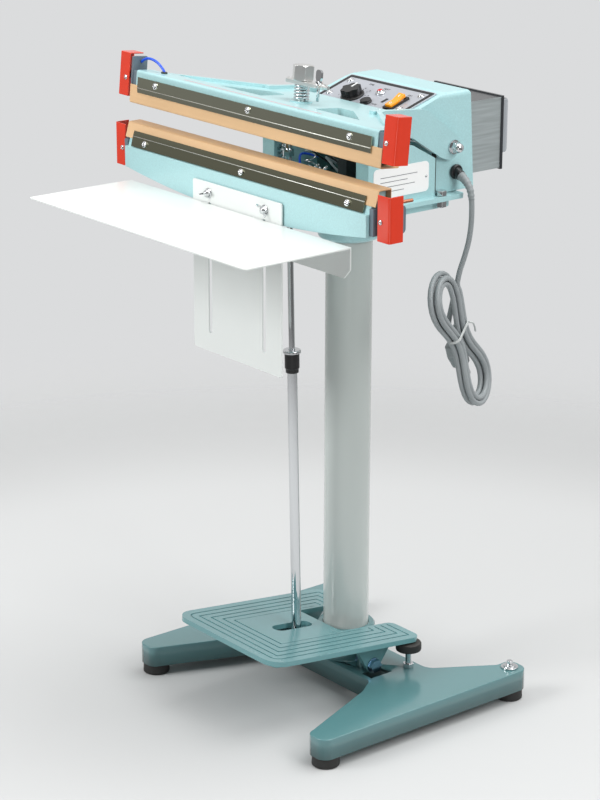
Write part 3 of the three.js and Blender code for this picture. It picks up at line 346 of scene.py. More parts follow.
HEAD_ENAMEL = Finish(
    "pale_aqua_hammered_enamel", "head_paint", 0xAAD2D5, roughness=0.30, skin=Skin.HAMMERED,
    scale=520, relief=0.10, mottle=0.045, gloss_change=0.12, coat=0.4, dust=0.02,
)
BASE_ENAMEL = Finish(
    "teal_gloss_enamel", "base_paint", 0x548184, roughness=0.22, scale=240, relief=0.035,
    mottle=0.03, gloss_change=0.08, coat=0.7, dust=0.03,
)
# The pedal wears the base's own teal paint, made lighter: a painted sheen for the light that it
# reflects.
PEDAL_SHEEN_ENAMEL = Finish(
    "teal_enamel_painted_sheen", "base_paint", 0x5F9195, roughness=0.26, scale=240, relief=0.035,
    mottle=0.03, gloss_change=0.08, coat=0.6, dust=0.03,
)
COLUMN_ENAMEL = Finish(
    "pale_grey_enamel", "column_paint", 0xBCC3C0, roughness=0.22, scale=160, relief=0.02,
    mottle=0.02, coat=0.6, dust=0.02,
)
TABLE_ENAMEL = Finish(
    "white_enamel", "shelf_paint", 0xE6EAE8, roughness=0.34, scale=500, mottle=0.012, coat=0.2,
    dust=0.02,
)
CHROME = Finish(
    "bright_chrome", "chrome", 0xD6D8DA, roughness=0.09, scale=300, relief=0.004, mottle=0.02,
    gloss_change=0.05, metallic=1.0,
)
# The bridge bar and the pressure nut are chrome like the rest, given a lighter, rougher colour: a
# painted highlight for the bright reflection they show.
BRIGHTENED_CHROME = Finish(
    "chrome_painted_bright", "chrome", 0xF0F0EE, roughness=0.3, scale=300, relief=0.004, mottle=0.02,
    gloss_change=0.05, metallic=1.0,
)
ZINC = Finish(
    "zinc_plate", "spring_steel", 0xB9BABB, roughness=0.3, scale=500, relief=0.01, mottle=0.06,
    gloss_change=0.1, metallic=1.0,
)
STRIP_STEEL = Finish(
    "polished_strip_steel", "strip_steel", 0xAEAF9C, roughness=0.09, skin=Skin.BRUSHED, scale=60,
    relief=0.10, mottle=0.04, metallic=1.0,
)
# The lower strip is the same polished steel as the upper strip, given a darker colour: painted shade
# that tones down the bright reflection it shows.
DARKENED_LOWER_STRIP_STEEL = Finish(
    "strip_steel_painted_darker", "strip_steel", 0x83836F, roughness=0.09, skin=Skin.BRUSHED,
    scale=60, relief=0.12, mottle=0.06, metallic=1.0,
)
ELEMENT_STEEL = Finish(
    "resistance_strip", "element_steel", 0x8C8076, roughness=0.35, skin=Skin.BRUSHED, scale=1500,
    relief=0.01, mottle=0.08, gloss_change=0.1, metallic=1.0,
)
GLASS_CLOTH = Finish(
    "coated_glass_cloth", "ptfe_cloth", 0xDBB588, roughness=0.5, skin=Skin.WOVEN, scale=520,
    relief=0.09, mottle=0.07, gloss_change=0.12, coat=0.1, dust=0.02,
)
CAP_RED = Finish(
    "red_cap_plastic", "red_plastic", 0xDC3A20, roughness=0.24, scale=1400, relief=0.02,
    mottle=0.03, gloss_change=0.08, coat=0.3,
)
BOARD_GREY = Finish(
    "grey_insulating_board", "insulator", 0x66757F, roughness=0.5, scale=700, relief=0.04,
    mottle=0.08,
)
RUBBER = Finish(
    "black_moulded_rubber", "rubber", 0x1B1B1B, roughness=0.62, scale=1300, relief=0.06,
    mottle=0.12, gloss_change=0.12, dust=0.14,
)
BLACK_PLASTIC = Finish(
    "satin_black_plastic", "black_plastic", 0x151516, roughness=0.34, scale=1500, mottle=0.1,
    gloss_change=0.08, dust=0.03,
)
PANEL_SILVER = Finish(
    "brushed_panel_face", "panel_steel", 0xC2C5CC, roughness=0.42, skin=Skin.BRUSHED, scale=1300,
    relief=0.012, gloss_change=0.1, metallic=0.55,
)
PRINT_BLACK = Finish(
    "printed_black", "panel_steel", 0x121214, roughness=0.4, relief=0.01, mottle=0.08,
)
PRINT_GREY = Finish(
    "printed_grey", "panel_steel", 0x4D5056, roughness=0.45, relief=0.01, mottle=0.08,
)
PRINT_RED = Finish("printed_red", "panel_steel", 0xD9919A, roughness=0.45, relief=0.01, mottle=0.08)
AMBER = Finish(
    "amber_rocker_plastic", "amber_plastic", 0xF59A10, roughness=0.16, relief=0.01,
    gloss_change=0.04, coat=0.5, glow=0.25,
)
LENS_RED = Finish(
    "red_lamp_lens", "red_plastic", 0xB81822, roughness=0.1, relief=0.01, gloss_change=0.04,
    coat=0.6, glow=0.05,
)
# The core's sheets are black varnished steel; their sides are coloured light grey with streaks, a
# painted reflection of the bright light, while the top edge and the end plate keep the black.
CORE_SHEEN_GREY = Finish(
    "core_sheets_painted_reflection", "black_steel", 0xA9B1B2, roughness=0.36, skin=Skin.LAYERED, scale=300,
    relief=0.16, mottle=0.16, gloss_change=0.2, metallic=0.3,
)
BELL_BLACK = Finish(
    "satin_black_cover", "black_steel", 0x303236, roughness=0.3, scale=700, mottle=0.1,
    gloss_change=0.1, metallic=0.2, coat=0.3, dust=0.03,
)
BOARD_GREEN = Finish(
    "lacquered_circuit_board", "circuit_board", 0x2B4A46, roughness=0.3, skin=Skin.BRUSHED,
    scale=700, mottle=0.15,
)
WIRE_BLUE = Finish(
    "blue_wire_insulation", "blue_plastic", 0x2156D8, roughness=0.3, skin=Skin.SHEATH, relief=0.01,
)
SHEATH_GREY = Finish(
    "grey_cord_sheath", "cord_grey", 0x92989A, roughness=0.42, skin=Skin.SHEATH, mottle=0.07,
    gloss_change=0.1, dust=0.02,
)
TIE_GREY = Finish(
    "pale_cord_tie", "cord_grey", 0xBFC3C2, roughness=0.5, skin=Skin.SHEATH, scale=1200,
    mottle=0.06,
)
LABEL_WHITE = Finish(
    "blank_white_plate", "shelf_paint", 0xFCFCFB, roughness=0.3, relief=0.01, mottle=0.005,
    gloss_change=0.04, coat=0.3,
)
PALE_FLOOR = Finish(
    "pale_studio_floor", "shelf_paint", 0xC3C4C4, roughness=0.8, scale=3, relief=0.0, mottle=0.01,
    gloss_change=0.04,
)
BLUE_ZINC = Finish(
    "blue_zinc_plate", "chrome", 0x93B6CC, roughness=0.2, scale=400, relief=0.01, mottle=0.06,
    gloss_change=0.08, metallic=1.0,
)
# The bell is a satin black cover; its middle band is coloured light steel, a painted highlight.
BELL_PAINTED_HIGHLIGHT = Finish(
    "bell_band_painted_highlight", "black_steel", 0xB9BEC3, roughness=0.25, scale=500, mottle=0.06,
    gloss_change=0.12, metallic=0.35,
)
# The folded edge is the strips' own steel made brighter and rougher: a painted highlight along the
# fold.
CREASE_HIGHLIGHT_STEEL = Finish(
    "folded_edge_painted_highlight", "strip_steel", 0xE4E4DE, roughness=0.3, skin=Skin.BRUSHED, relief=0.01,
    mottle=0.04, metallic=0.8,
)
COPPER_STUD = Finish(
    "copper_contact_stud", "element_steel", 0xA86B52, roughness=0.35, skin=Skin.BRUSHED,
    relief=0.02, mottle=0.1, gloss_change=0.1, metallic=0.8,
)
POINTER_WHITE = Finish(
    "white_pointer_fill", "shelf_paint", 0xECECEC, roughness=0.4, relief=0.01, mottle=0.03,
)


# ------------------------------------------------------------------ pieces
Zone = tuple[Finish, Callable[[Vector], bool]]


def soften(piece: bpy.types.Object, edge: float, segments: int = 2) -> None:
    """Rounds the edges of a piece with modifiers, and leaves its mesh as it is.

    Args:
        piece: the object.
        edge: how wide the rounding is, in millimetres.
        segments: how many faces make the rounding.
    """
    weld = piece.modifiers.new("weld", "WELD")
    weld.merge_threshold = SAME_PLACE
    flats = piece.modifiers.new("flats", "DECIMATE")
    flats.decimate_type = "DISSOLVE"
    flats.angle_limit = math.radians(0.4)
    flats.delimit = {"MATERIAL"}
    round_edge = piece.modifiers.new("edges", "BEVEL")
    round_edge.limit_method = "ANGLE"
    round_edge.angle_limit = SHARP_EDGE
    round_edge.width = edge * MM
    round_edge.segments = segments
    round_edge.miter_outer = "MITER_ARC"
    round_edge.use_clamp_overlap = True
    normals = piece.modifiers.new("normals", "WEIGHTED_NORMAL")
    normals.keep_sharp = True


def dress(node: str, finish: Finish, edge: float = 0.5, zones: Sequence[Zone] = ()) -> None:
    """Gives a CAD node its finish and its rounded edges.

    Args:
        node: the node's name.
        finish: the finish of most of it.
        edge: how wide its edges are rounded, in millimetres.
        zones: other finishes, each with a test on a face's middle, in the row frame.
    """
    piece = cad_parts[node]
    piece.data.materials.clear()
    for each in (finish, *(zone[0] for zone in zones)):
        piece.data.materials.append(each.material())
    for face in piece.data.polygons:
        face.use_smooth = True
        face.material_index = next(
            (i for i, zone in enumerate(zones, 1) if zone[1](face.center)), 0
        )
    soften(piece, edge)
    LOG.info("dressed %s in %s", node, finish.name)


def add_piece(
    name: str,
    shape: bmesh.types.BMesh,
    finish: Finish,
    body: str,
    matrix: Matrix,
    smooth: bool = True,
) -> bpy.types.Object:
    """Turns a mesh into a piece of the object.

    Args:
        name: the piece's name.
        shape: its mesh, which is used up.
        finish: its finish.
        body: the CAD body that it rides on.
        matrix: from the mesh's own place to the row frame.
        smooth: whether its faces shade smoothly.

    Returns:
        The new object.
    """
    shape.transform(matrix)
    bmesh.ops.recalc_face_normals(shape, faces=shape.faces)
    for face in shape.faces:
        face.smooth = smooth
    mesh = bpy.data.meshes.new(name)
    shape.to_mesh(mesh)
    shape.free()
    mesh.materials.append(finish.material())
    piece = bpy.data.objects.new(name, mesh)
    bpy.context.scene.collection.objects.link(piece)
    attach(piece, body)
    LOG.info("made %s on %s", name, body)
    return piece


def turned(profile: Sequence[tuple[float, float]], segments: int = 40) -> bmesh.types.BMesh:
    """Turns a profile round +Z.

    Args:
        profile: its (radius, height) points; both its ends lie on the axis.
        segments: how many sides the shape has.

    Returns:
        The turned mesh.
    """
    shape = bmesh.new()
    rings = []
    for radius, height in profile:
        if radius < 1e-6:
            rings.append([shape.verts.new((0.0, 0.0, height))])
            continue
        angles = [2 * math.pi * i / segments for i in range(segments)]
        rings.append(
            [shape.verts.new((radius * math.cos(a), radius * math.sin(a), height)) for a in angles]
        )
    for low, high in zip(rings, rings[1:]):
        for i in range(segments):
            j = (i + 1) % segments
            corners = [
                low[i % len(low)], low[j % len(low)], high[j % len(high)], high[i % len(high)]
            ]
            shape.faces.new(list(dict.fromkeys(corners)))
    return shape


def plate(points: Sequence[tuple[float, float]], low: float, high: float) -> bmesh.types.BMesh:
    """Raises a flat outline in X and Y.

    Args:
        points: the outline.
        low: the height of its lower face.
        high: the height of its upper face.

    Returns:
        The raised mesh.
    """
    shape = bmesh.new()
    lower, upper = ([shape.verts.new((x, y, z)) for x, y in points] for z in (low, high))
    for i in range(len(points)):
        j = (i + 1) % len(points)
        shape.faces.new((lower[i], lower[j], upper[j], upper[i]))
    shape.faces.new(lower[::-1])
    shape.faces.new(upper)
    return shape


def round_rectangle(
    width: float, height: float, radius: float, steps: int = 6
) -> list[tuple[float, float]]:
    """Draws a rectangle with rounded corners, round the origin.

    Args:
        width: its size in X.
        height: its size in Y.
        radius: the radius of its corners.
        steps: how many edges each corner has.

    Returns:
        The points of the outline.
    """
    points = []
    for quarter, (sx, sy) in enumerate(((1, 1), (-1, 1), (-1, -1), (1, -1))):
        middle_x = sx * (width / 2 - radius)
        middle_y = sy * (height / 2 - radius)
        for i in range(steps + 1):
            angle = math.pi / 2 * (quarter + i / steps)
            points.append(
                (middle_x + radius * math.cos(angle), middle_y + radius * math.sin(angle))
            )
    return points


def frame_plate(
    outer: Sequence[tuple[float, float]],
    inner: Sequence[tuple[float, float]],
    low: float,
    high: float,
) -> bmesh.types.BMesh:
    """Makes a flat ring between two outlines of as many points.

    Args:
        outer: the outer outline.
        inner: the inner outline.
        low: the height of its lower face.
        high: the height of its upper face.

    Returns:
        The ring's mesh.
    """
    shape = bmesh.new()
    corners = ((outer, low), (outer, high), (inner, high), (inner, low))
    rings = [[shape.verts.new((x, y, z)) for x, y in line] for line, z in corners]
    count = len(outer)
    for ring, following in zip(rings, rings[1:] + rings[:1]):
        for i in range(count):
            j = (i + 1) % count
            shape.faces.new((ring[i], ring[j], following[j], following[i]))
    return shape


def merged(*shapes: bmesh.types.BMesh) -> bmesh.types.BMesh:
    """Puts several meshes into one.

    Args:
        shapes: the meshes, which are used up.

    Returns:
        The one mesh.
    """
    whole = bmesh.new()
    for shape in shapes:
        part = bpy.data.meshes.new("part")
        shape.to_mesh(part)
        shape.free()
        whole.from_mesh(part)
        bpy.data.meshes.remove(part)
    return whole


def moved(shape: bmesh.types.BMesh, matrix: Matrix) -> bmesh.types.BMesh:
    """Moves a mesh and returns it."""
    shape.transform(matrix)
    return shape


def tube(
    points: Sequence[Vector], radii: Sequence[float], sides: int = 16, closed: bool = False
) -> bmesh.types.BMesh:
    """Makes a round tube along a line of points, with its own radius at each.

    Args:
        points: the middle line.
        radii: the radius at each point.
        sides: how many sides the tube has.
        closed: whether the line is a loop; otherwise both ends are capped.

    Returns:
        The tube's mesh.
    """
    shape = bmesh.new()
    count = len(points)
    rings = []
    side = None
    for i, point in enumerate(points):
        before = points[(i - 1) % count] if closed or i else point
        after = points[(i + 1) % count] if closed or i < count - 1 else point
        along = (after - before).normalized()
        across = along.orthogonal() if side is None else side - along * side.dot(along)
        side = across.normalized()
        up = along.cross(side)
        angles = [2 * math.pi * k / sides for k in range(sides)]
        spokes = [side * math.cos(a) + up * math.sin(a) for a in angles]
        rings.append([shape.verts.new(point + spoke * radii[i]) for spoke in spokes])
    pairs = list(zip(rings, rings[1:])) + ([(rings[-1], rings[0])] if closed else [])
    for ring, following in pairs:
        for k in range(sides):
            m = (k + 1) % sides
            shape.faces.new((ring[k], ring[m], following[m], following[k]))
    if not closed:
        shape.faces.new(rings[0])
        shape.faces.new(rings[-1])
    return shape


def smooth_line(points: Sequence[Vector], steps: int) -> list[Vector]:
    """Returns a smooth line through some points.

    Args:
        points: the points that it passes through.
        steps: how many pieces it has between two of them.

    Returns:
        The points of the line, the given ones among them.
    """
    ends = [points[0] * 2 - points[1], *points, points[-1] * 2 - points[-2]]
    line = []
    for a, b, c, d in zip(ends, ends[1:], ends[2:], ends[3:]):
        for i in range(steps):
            t = i / steps
            bend = (2 * a - 5 * b + 4 * c - d) * t * t
            sway = (3 * b - a - 3 * c + d) * t ** 3
            line.append(0.5 * (2 * b + (c - a) * t + bend + sway))
    return line + [points[-1].copy()]


def screw_head(radius: float, height: float) -> bmesh.types.BMesh:
    """Makes a domed screw head with a cross recess, standing on z = 0.

    Args:
        radius: the head's radius.
        height: the height of its dome.

    Returns:
        The head's mesh.
    """
    rings = [0.0, 0.1, 0.18, 0.26, 0.34, 0.42, 0.5, 0.57, 0.7, 0.84, 0.94, 1.0]
    profile = [(r * radius, height * (0.35 + 0.65 * math.sqrt(max(0.0, 1 - r * r)))) for r in rings]
    shape = turned([*profile, (radius, 0.0), (0.0, 0.0)], 56)
    for vert in shape.verts:
        reach = math.hypot(vert.co.x, vert.co.y)
        narrow = min(abs(vert.co.x), abs(vert.co.y))
        if reach < 0.55 * radius and narrow < 0.13 * radius and vert.co.z > 0.5 * height:
            vert.co.z -= height * 0.45 * (1 - reach / (0.75 * radius))
    return shape


def wing(side: int) -> bmesh.types.BMesh:
    """Builds one wing of a wing bolt, which rises and flares from its boss.

    Args:
        side: 1 or -1, the side of the boss that it stands on.

    Returns:
        The wing's mesh.
    """
    stations = [  # reach from the axis, lower edge, upper edge
        (3.6, 1.0, 3.2), (5.4, 1.3, 5.0), (7.2, 2.2, 6.9), (8.9, 3.8, 8.0), (10.0, 4.9, 7.8), (
            10.5, 5.6, 7.2
        ),
    ]
    shape = bmesh.new()
    rings = []
    for reach, low, high in stations:
        half = 1.25 - 0.03 * reach
        corners = [(-half, low), (half, low), (half, high), (-half, high)]
        rings.append([shape.verts.new((side * reach, y, z)) for y, z in corners])
    for ring, following in zip(rings, rings[1:]):
        for k in range(4):
            m = (k + 1) % 4
            shape.faces.new((ring[k], ring[m], following[m], following[k]))
    shape.faces.new(rings[0])
    shape.faces.new(rings[-1])
    return shape


def winged_head() -> bmesh.types.BMesh:
    """Builds the washer, the boss and the two wings of a wing bolt, standing on z = 0."""
    boss = [
        (0.0, 6.6),
        (2.6, 6.4),
        (3.9, 5.2),
        (4.8, 3.2),
        (5.4, 0.9),
        (6.6, 0.9),
        (6.6, 0.2),
        (0.0, 0.2),
    ]
    return merged(turned(boss, 40), wing(1), wing(-1))


def letters(text: str, size: float, x: float, y: float, angle: float = 0.0) -> bmesh.types.BMesh:
    """Makes flat lettering, centred on a point of the plane z = 0.

    Args:
        text: plain words or figures.
        size: the height of a line, in millimetres.
        x, y: the middle of the text.
        angle: how far it is turned, in radians.

    Returns:
        The lettering's mesh, 0.12 mm thick.
    """
    curve = bpy.data.curves.new("lettering", "FONT")
    curve.body = text
    curve.size = size
    curve.align_x = "CENTER"
    curve.align_y = "CENTER"
    curve.extrude = 0.06
    source = bpy.data.objects.new("lettering", curve)
    mesh = bpy.data.meshes.new_from_object(source)
    shape = bmesh.new()
    shape.from_mesh(mesh)
    bpy.data.objects.remove(source)
    bpy.data.meshes.remove(mesh)
    return moved(shape, Matrix.Translation((x, y, 0.0)) @ Matrix.Rotation(angle, 4, "Z"))


# ------------------------------------------------------------------ studio
@dataclass
class Studio:
    """A pale floor, soft lights and the camera. Lengths are in metres."""

    azimuth: float = 50.9
    pitch: float = 18.21
    roll: float = 0.16
    lens: float = 110.77
    stand_point: tuple[float, float, float] = (2.31083, -1.89866, 1.38969)
    floor_half: float = 1.8
    floor_fade: tuple[float, float] = (0.75, 1.7)
    backdrop: int = 0xDBDCDD
    floor_levels: tuple[float, float] = (-0.02, -0.0002)
    floor_sheen: float = 0.1
    room_bright_side: tuple[float, float, float] = (-0.40, 0.48, 0.78)
    room_levels: tuple[tuple[float, float], ...] = ((0.36, 0.16), (0.72, 0.66))
    lamp_aim: tuple[float, float, float] = (0.0, 0.0, 0.75)
    sun_side: tuple[float, float, float] = (0.35, 0.55, 1.6)
    sun_strength: float = 1.6
    sun_spread: float = 45.0
    boxes: tuple[tuple[str, tuple[float, float, float], float, float], ...] = (
        ("front_box", (-0.8, -2.5, 1.9), 1.3, 52.0),
        ("fill_card", (1.7, -1.5, 0.4), 0.8, 4.0),
        ("side_box", (1.9, 0.2, 1.6), 0.9, 17.0),
        ("top_box", (0.1, -0.3, 2.2), 0.9, 5.0),
    )

    def camera(self) -> None:
        """Sets up the camera at the height and angle that show the front and the right side."""
        turn, tilt = math.radians(self.azimuth), math.radians(self.pitch)
        ahead = Vector(
            (-math.sin(turn) * math.cos(tilt), math.cos(turn) * math.cos(tilt), -math.sin(tilt))
        )
        data = bpy.data.cameras.new("camera")
        data.lens = self.lens
        data.sensor_width = 36.0
        data.clip_end = 100.0
        camera = bpy.data.objects.new("camera", data)
        camera.matrix_world = (
            Matrix.Translation(self.stand_point)
            @ ahead.to_track_quat("-Z", "Y").to_matrix().to_4x4()
            @ Matrix.Rotation(math.radians(self.roll), 4, "Z")
        )
        bpy.context.scene.collection.objects.link(camera)
        bpy.context.scene.camera = camera

    def lamp(self, name: str, where: Sequence[float], size: float, power: float) -> None:
        """Adds a square soft box that looks at the machine's head.

        Args:
            name: the lamp's name.
            where: its place.
            size: the length of its side.
            power: its power, in watts.
        """
        data = bpy.data.lights.new(name, "AREA")
        data.size = size
        data.energy = power
        lamp = bpy.data.objects.new(name, data)
        lamp.visible_camera = False
        lamp.location = where
        sight = Vector(self.lamp_aim) - Vector(where)
        lamp.rotation_euler = sight.to_track_quat("-Z", "Y").to_euler()
        bpy.context.scene.collection.objects.link(lamp)

    def sun(self) -> None:
        """Adds the broad overhead light, which reaches the whole floor alike."""
        data = bpy.data.lights.new("overhead", "SUN")
        data.energy = self.sun_strength
        data.angle = math.radians(self.sun_spread)
        lamp = bpy.data.objects.new("overhead", data)
        lamp.rotation_euler = (-Vector(self.sun_side)).to_track_quat("-Z", "Y").to_euler()
        bpy.context.scene.collection.objects.link(lamp)

    def room(self) -> None:
        """Sets up the room's own light: pale above and behind, and dark in front and below."""
        world = bpy.data.worlds.new("studio")
        world.use_nodes = True
        graph = Graph(world.node_tree)
        outward = graph.add("TexCoord").outputs["Generated"]
        toward = graph.add(
            "VectorMath", {0: outward, 1: self.room_bright_side}, operation="DOT_PRODUCT"
        )
        share = graph.add(
            "Math", {0: toward.outputs["Value"], 1: 0.5, 2: 0.5}, operation="MULTIPLY_ADD"
        )
        ramp = graph.add("ValToRGB", {"Fac": share.outputs[0]})
        for element, (at, level) in zip(ramp.color_ramp.elements, self.room_levels):
            element.position = at
            element.color = (level, level, level, 1.0)
        seen = graph.add("LightPath").outputs["Is Camera Ray"]
        sides = {0: seen, 6: ramp.outputs["Color"], 7: linear(self.backdrop)}
        color = graph.add("Mix", sides, data_type="RGBA").outputs[2]
        world.node_tree.links.new(color, world.node_tree.nodes["Background"].inputs["Color"])
        bpy.context.scene.world = world

    def floor(self) -> None:
        """Adds the pale floor, which fades out at its edge."""
        half = self.floor_half
        shape = plate(
            [(-half, -half), (half, -half), (half, half), (-half, half)], *self.floor_levels
        )
        mesh = bpy.data.meshes.new("floor")
        shape.to_mesh(mesh)
        shape.free()
        paint = PALE_FLOOR.material()
        graph = Graph(paint.node_tree)
        spot = graph.add("TexCoord").outputs["Object"]
        reach = graph.add("VectorMath", {0: spot}, operation="LENGTH").outputs["Value"]
        near, far = self.floor_fade
        span = {"Value": reach, 1: near, 2: far, 3: 1.0, 4: 0.0}
        fade = graph.add("MapRange", span, interpolation_type="SMOOTHSTEP")
        shader = paint.node_tree.nodes["Principled BSDF"]
        shader.inputs["Specular IOR Level"].default_value = self.floor_sheen
        paint.node_tree.links.new(fade.outputs["Result"], shader.inputs["Alpha"])
        mesh.materials.append(paint)
        floor = bpy.data.objects.new("floor", mesh)
        bpy.context.scene.collection.objects.link(floor)

    def build(self) -> None:
        """Builds the camera, the floor, the room and the lights."""
        self.camera()
        self.floor()
        self.room()
        self.sun()
        for box in self.boxes:
            self.lamp(*box)
        bpy.context.scene.view_settings.view_transform = "Standard"
        LOG.info("studio is set")


# ------------------------------------------------------------------ mains cord
@dataclass
class MainsCord:
    """The lead from its gland, the tied hank and the plug. Millimetres from the column's axis."""

    radius: float = 3.5
    hank_centre: tuple[float, float, float] = (129.0, 76.0, 491.0)
    lean: float = math.radians(26)
    twist: float = math.radians(25)
    half_run: float = 61.6
    inner_fold: float = 21.5
    pitch: float = 7.25
    pinch: float = 17.3
    layer: float = 3.65
    turns: int = 4
    plug_out: float = -24.0
    plug_along: float = -35.0
    plug_across: float = 20.0
    plug_ends: tuple[float, float] = (-18.0, 14.0)
    plug_section: tuple[float, float, float] = (25.0, 21.0, 6.0)
    neck: float = 29.0
    neck_end: float = 30.0
    blade_x: float = 6.4
    blade_section: tuple[float, float, float] = (1.5, 6.3, 0.6)
    blade_ends: tuple[float, float] = (-35.6, -17.0)
    relief_radius: tuple[float, float] = (6.2, 4.1)
    relief_groove: float = 0.55
    tie_along: float = 12.0
    tie_ring: tuple[float, float, float] = (17.2, 45.0, 8.0)
    tie_wire: float = 1.0
    tie_twist: tuple[tuple[float, float, float], ...] = (
        (9.0, 1.0, 20.0), (12.0, -4.0, 24.0), (11.0, -12.0, 26.0), (9.5, -19.0, 26.5),
    )
    route: tuple[tuple[float, float, float], ...] = (
        (108.8, 89.5, 697.1), (112.4, 89.5, 695.4), (120.4, 89.5, 689.8), (126.0, 89.6, 681.8),
        (128.6, 89.8, 670.5), (129.2, 90.0, 655.0), (128.9, 89.6, 637.0), (127.2, 87.8, 617.0),
        (124.0, 84.6, 598.0), (121.2, 81.6, 584.0), (120.0, 80.2, 577.0),
    )

    def hank_frame(self) -> Matrix:
        """Returns the matrix from the hank's own axes: out of it, across it, and along it."""
        return (
            Matrix.Translation(self.hank_centre)
            @ Matrix.Rotation(self.lean, 4, "X")
            @ Matrix.Rotation(self.twist, 4, "Z")
        )

    def in_hank(self, out: float, along: float, across: float) -> Vector:
        """Returns a point of the hank: out of its plane, along it, and across it to the back."""
        return self.hank_frame() @ Vector((out, across, along))

    def wound(self, turn: float) -> Vector:
        """Finds the cord's middle after some turns of the hank.

        The cord winds inwards in one layer, crosses to the next, and winds outwards again.

        Args:
            turn: the number of turns, from 0 to all of them.

        Returns:
            The point, in millimetres from the column's axis.
        """
        middle = self.turns / 2
        fold = self.inner_fold + self.pitch * abs(turn - middle)
        blend = min(max((turn - middle) / 0.6 + 0.5, 0.0), 1.0)
        x = self.layer * math.cos(math.pi * blend)
        quarter, share = divmod((turn % 1.0) * 4, 1.0)
        if quarter in (0, 2):
            side = 1 if quarter == 0 else -1
            along = side * self.half_run * (1 - 2 * share)
            draw_in = self.pinch * (1 + math.cos(math.pi * along / self.half_run)) / 2
            return self.in_hank(x, along, side * (fold - draw_in))
        side = 1 if quarter == 1 else -1
        angle = math.pi * share
        return self.in_hank(
            x, -side * (self.half_run + fold * math.sin(angle)), side * fold * math.cos(angle)
        )

    def tail(self) -> list[Vector]:
        """Lays the last stretch, from the hank into the neck of the plug.

        Returns:
            Its points, in millimetres from the column's axis.
        """
        start_across = self.inner_fold + self.pitch * self.turns / 2
        start_out = -self.layer
        end_along = self.plug_along + self.neck
        points = []
        for i in range(1, 13):
            blend = (1 - math.cos(math.pi * i / 12)) / 2
            along = self.half_run + (end_along - self.half_run) * i / 12
            across = start_across + (self.plug_across - start_across) * blend
            points.append(
                self.in_hank(start_out + (self.plug_out - start_out) * blend, along, across)
            )
        return points

    def centre_line(self) -> list[Vector]:
        """Lays the whole cord.

        Returns:
            The points of its middle line, in the row frame.
        """
        lead = [Vector(p) for p in self.route]
        steps = 48 * self.turns
        winding = [self.wound(i * self.turns / steps) for i in range(1, steps)]
        line = smooth_line([*lead, self.wound(0.0), *winding[:1]], 4)[:-1]
        return [place(*p) for p in [*line, *winding, self.in_hank_start(), *self.tail()]]

    def in_hank_start(self) -> Vector:
        """Returns the end of the last turn, where the tail begins."""
        across = self.inner_fold + self.pitch * self.turns / 2
        return self.in_hank(-self.layer, self.half_run, across)

    def plug_shape(self) -> bmesh.types.BMesh:
        """Builds the plug's moulded body along +Z, with grip grooves and a ribbed neck.

        Returns:
            The mesh of the body.
        """
        low, high = self.plug_ends
        shape = bmesh.new()
        rings = []
        for i in range(25):
            z = low + (high - low) * i / 24
            groove = 0.05 if i % 3 == 0 and 6 <= i <= 18 else 0.0
            swell = 1.0 - 0.16 * abs(z + 2.0) / 16.0 - groove
            outline = round_rectangle(*(size * swell for size in self.plug_section), 4)
            rings.append([shape.verts.new((x, y, z)) for x, y in outline])
        for ring, following in zip(rings, rings[1:]):
            for k in range(len(ring)):
                m = (k + 1) % len(ring)
                shape.faces.new((ring[k], ring[m], following[m], following[k]))
        shape.faces.new(rings[0])
        shape.faces.new(rings[-1])
        neck = [(0.0, 12.0), (8.0, 13.0)]
        for i in range(12):
            z = 14.0 + 1.35 * i
            radius = 7.6 - 0.25 * i
            neck.extend([(radius, z), (radius - 0.7 * (i % 2), z + 0.7)])
        return merged(shape, turned([*neck, (4.6, self.neck_end), (0.0, self.neck_end)], 28))

    def plug(self) -> list[bpy.types.Object]:
        """Adds the plug and its blades at the loose end.

        Returns:
            The plug's body and its blades.
        """
        spot = Matrix.Translation((self.plug_out, self.plug_across, self.plug_along))
        stand = row_matrix() @ self.hank_frame() @ spot
        body = add_piece("plug_body", self.plug_shape(), SHEATH_GREY, "stand", stand)
        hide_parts("cord_plug")
        pins = []
        for x in (-self.blade_x, self.blade_x):
            blade = plate(round_rectangle(*self.blade_section, 3), *self.blade_ends)
            pins.append(moved(blade, Matrix.Translation((x, 0.0, 0.0))))
        return [body, add_piece("plug_blades", merged(*pins), ZINC, "stand", stand, smooth=False)]

    def strain_relief(self) -> bpy.types.Object:
        """Adds the ribbed sleeve round the cord below its gland.

        Returns:
            The sleeve.
        """
        middle = smooth_line([Vector(p) for p in self.route[:5]], 8)
        thick, thin = self.relief_radius
        radii = []
        for i in range(len(middle)):
            taper = thick - (thick - thin) * i / (len(middle) - 1)
            radii.append((taper - (self.relief_groove if i % 4 >= 2 else 0.0)) * MM)
        sleeve = tube([place(*p) for p in middle], radii, 24)
        return add_piece("strain_relief", sleeve, SHEATH_GREY, "stand", Matrix())

    def tie(self) -> bpy.types.Object:
        """Adds the wire tie: two loops round the hank and their twisted ends.

        Returns:
            The tie.
        """
        loops = []
        for offset in (0.0, 1.7):
            path = []
            for x, y in round_rectangle(*self.tie_ring):
                path.append(place(*self.in_hank(x, self.tie_along + offset + 0.06 * y, y + 1.8)))
            loops.append(tube(path, [self.tie_wire * MM] * len(path), 10, closed=True))
        knot = [self.in_hank(x, self.tie_along + along, y) for x, along, y in self.tie_twist]
        twist = smooth_line([place(*p) for p in knot], 6)
        radii = [1.1 * MM + 0.25 * MM * (i % 2) for i in range(len(twist))]
        loops.append(tube(twist, radii, 10))
        return add_piece("hank_tie", merged(*loops), TIE_GREY, "stand", Matrix())

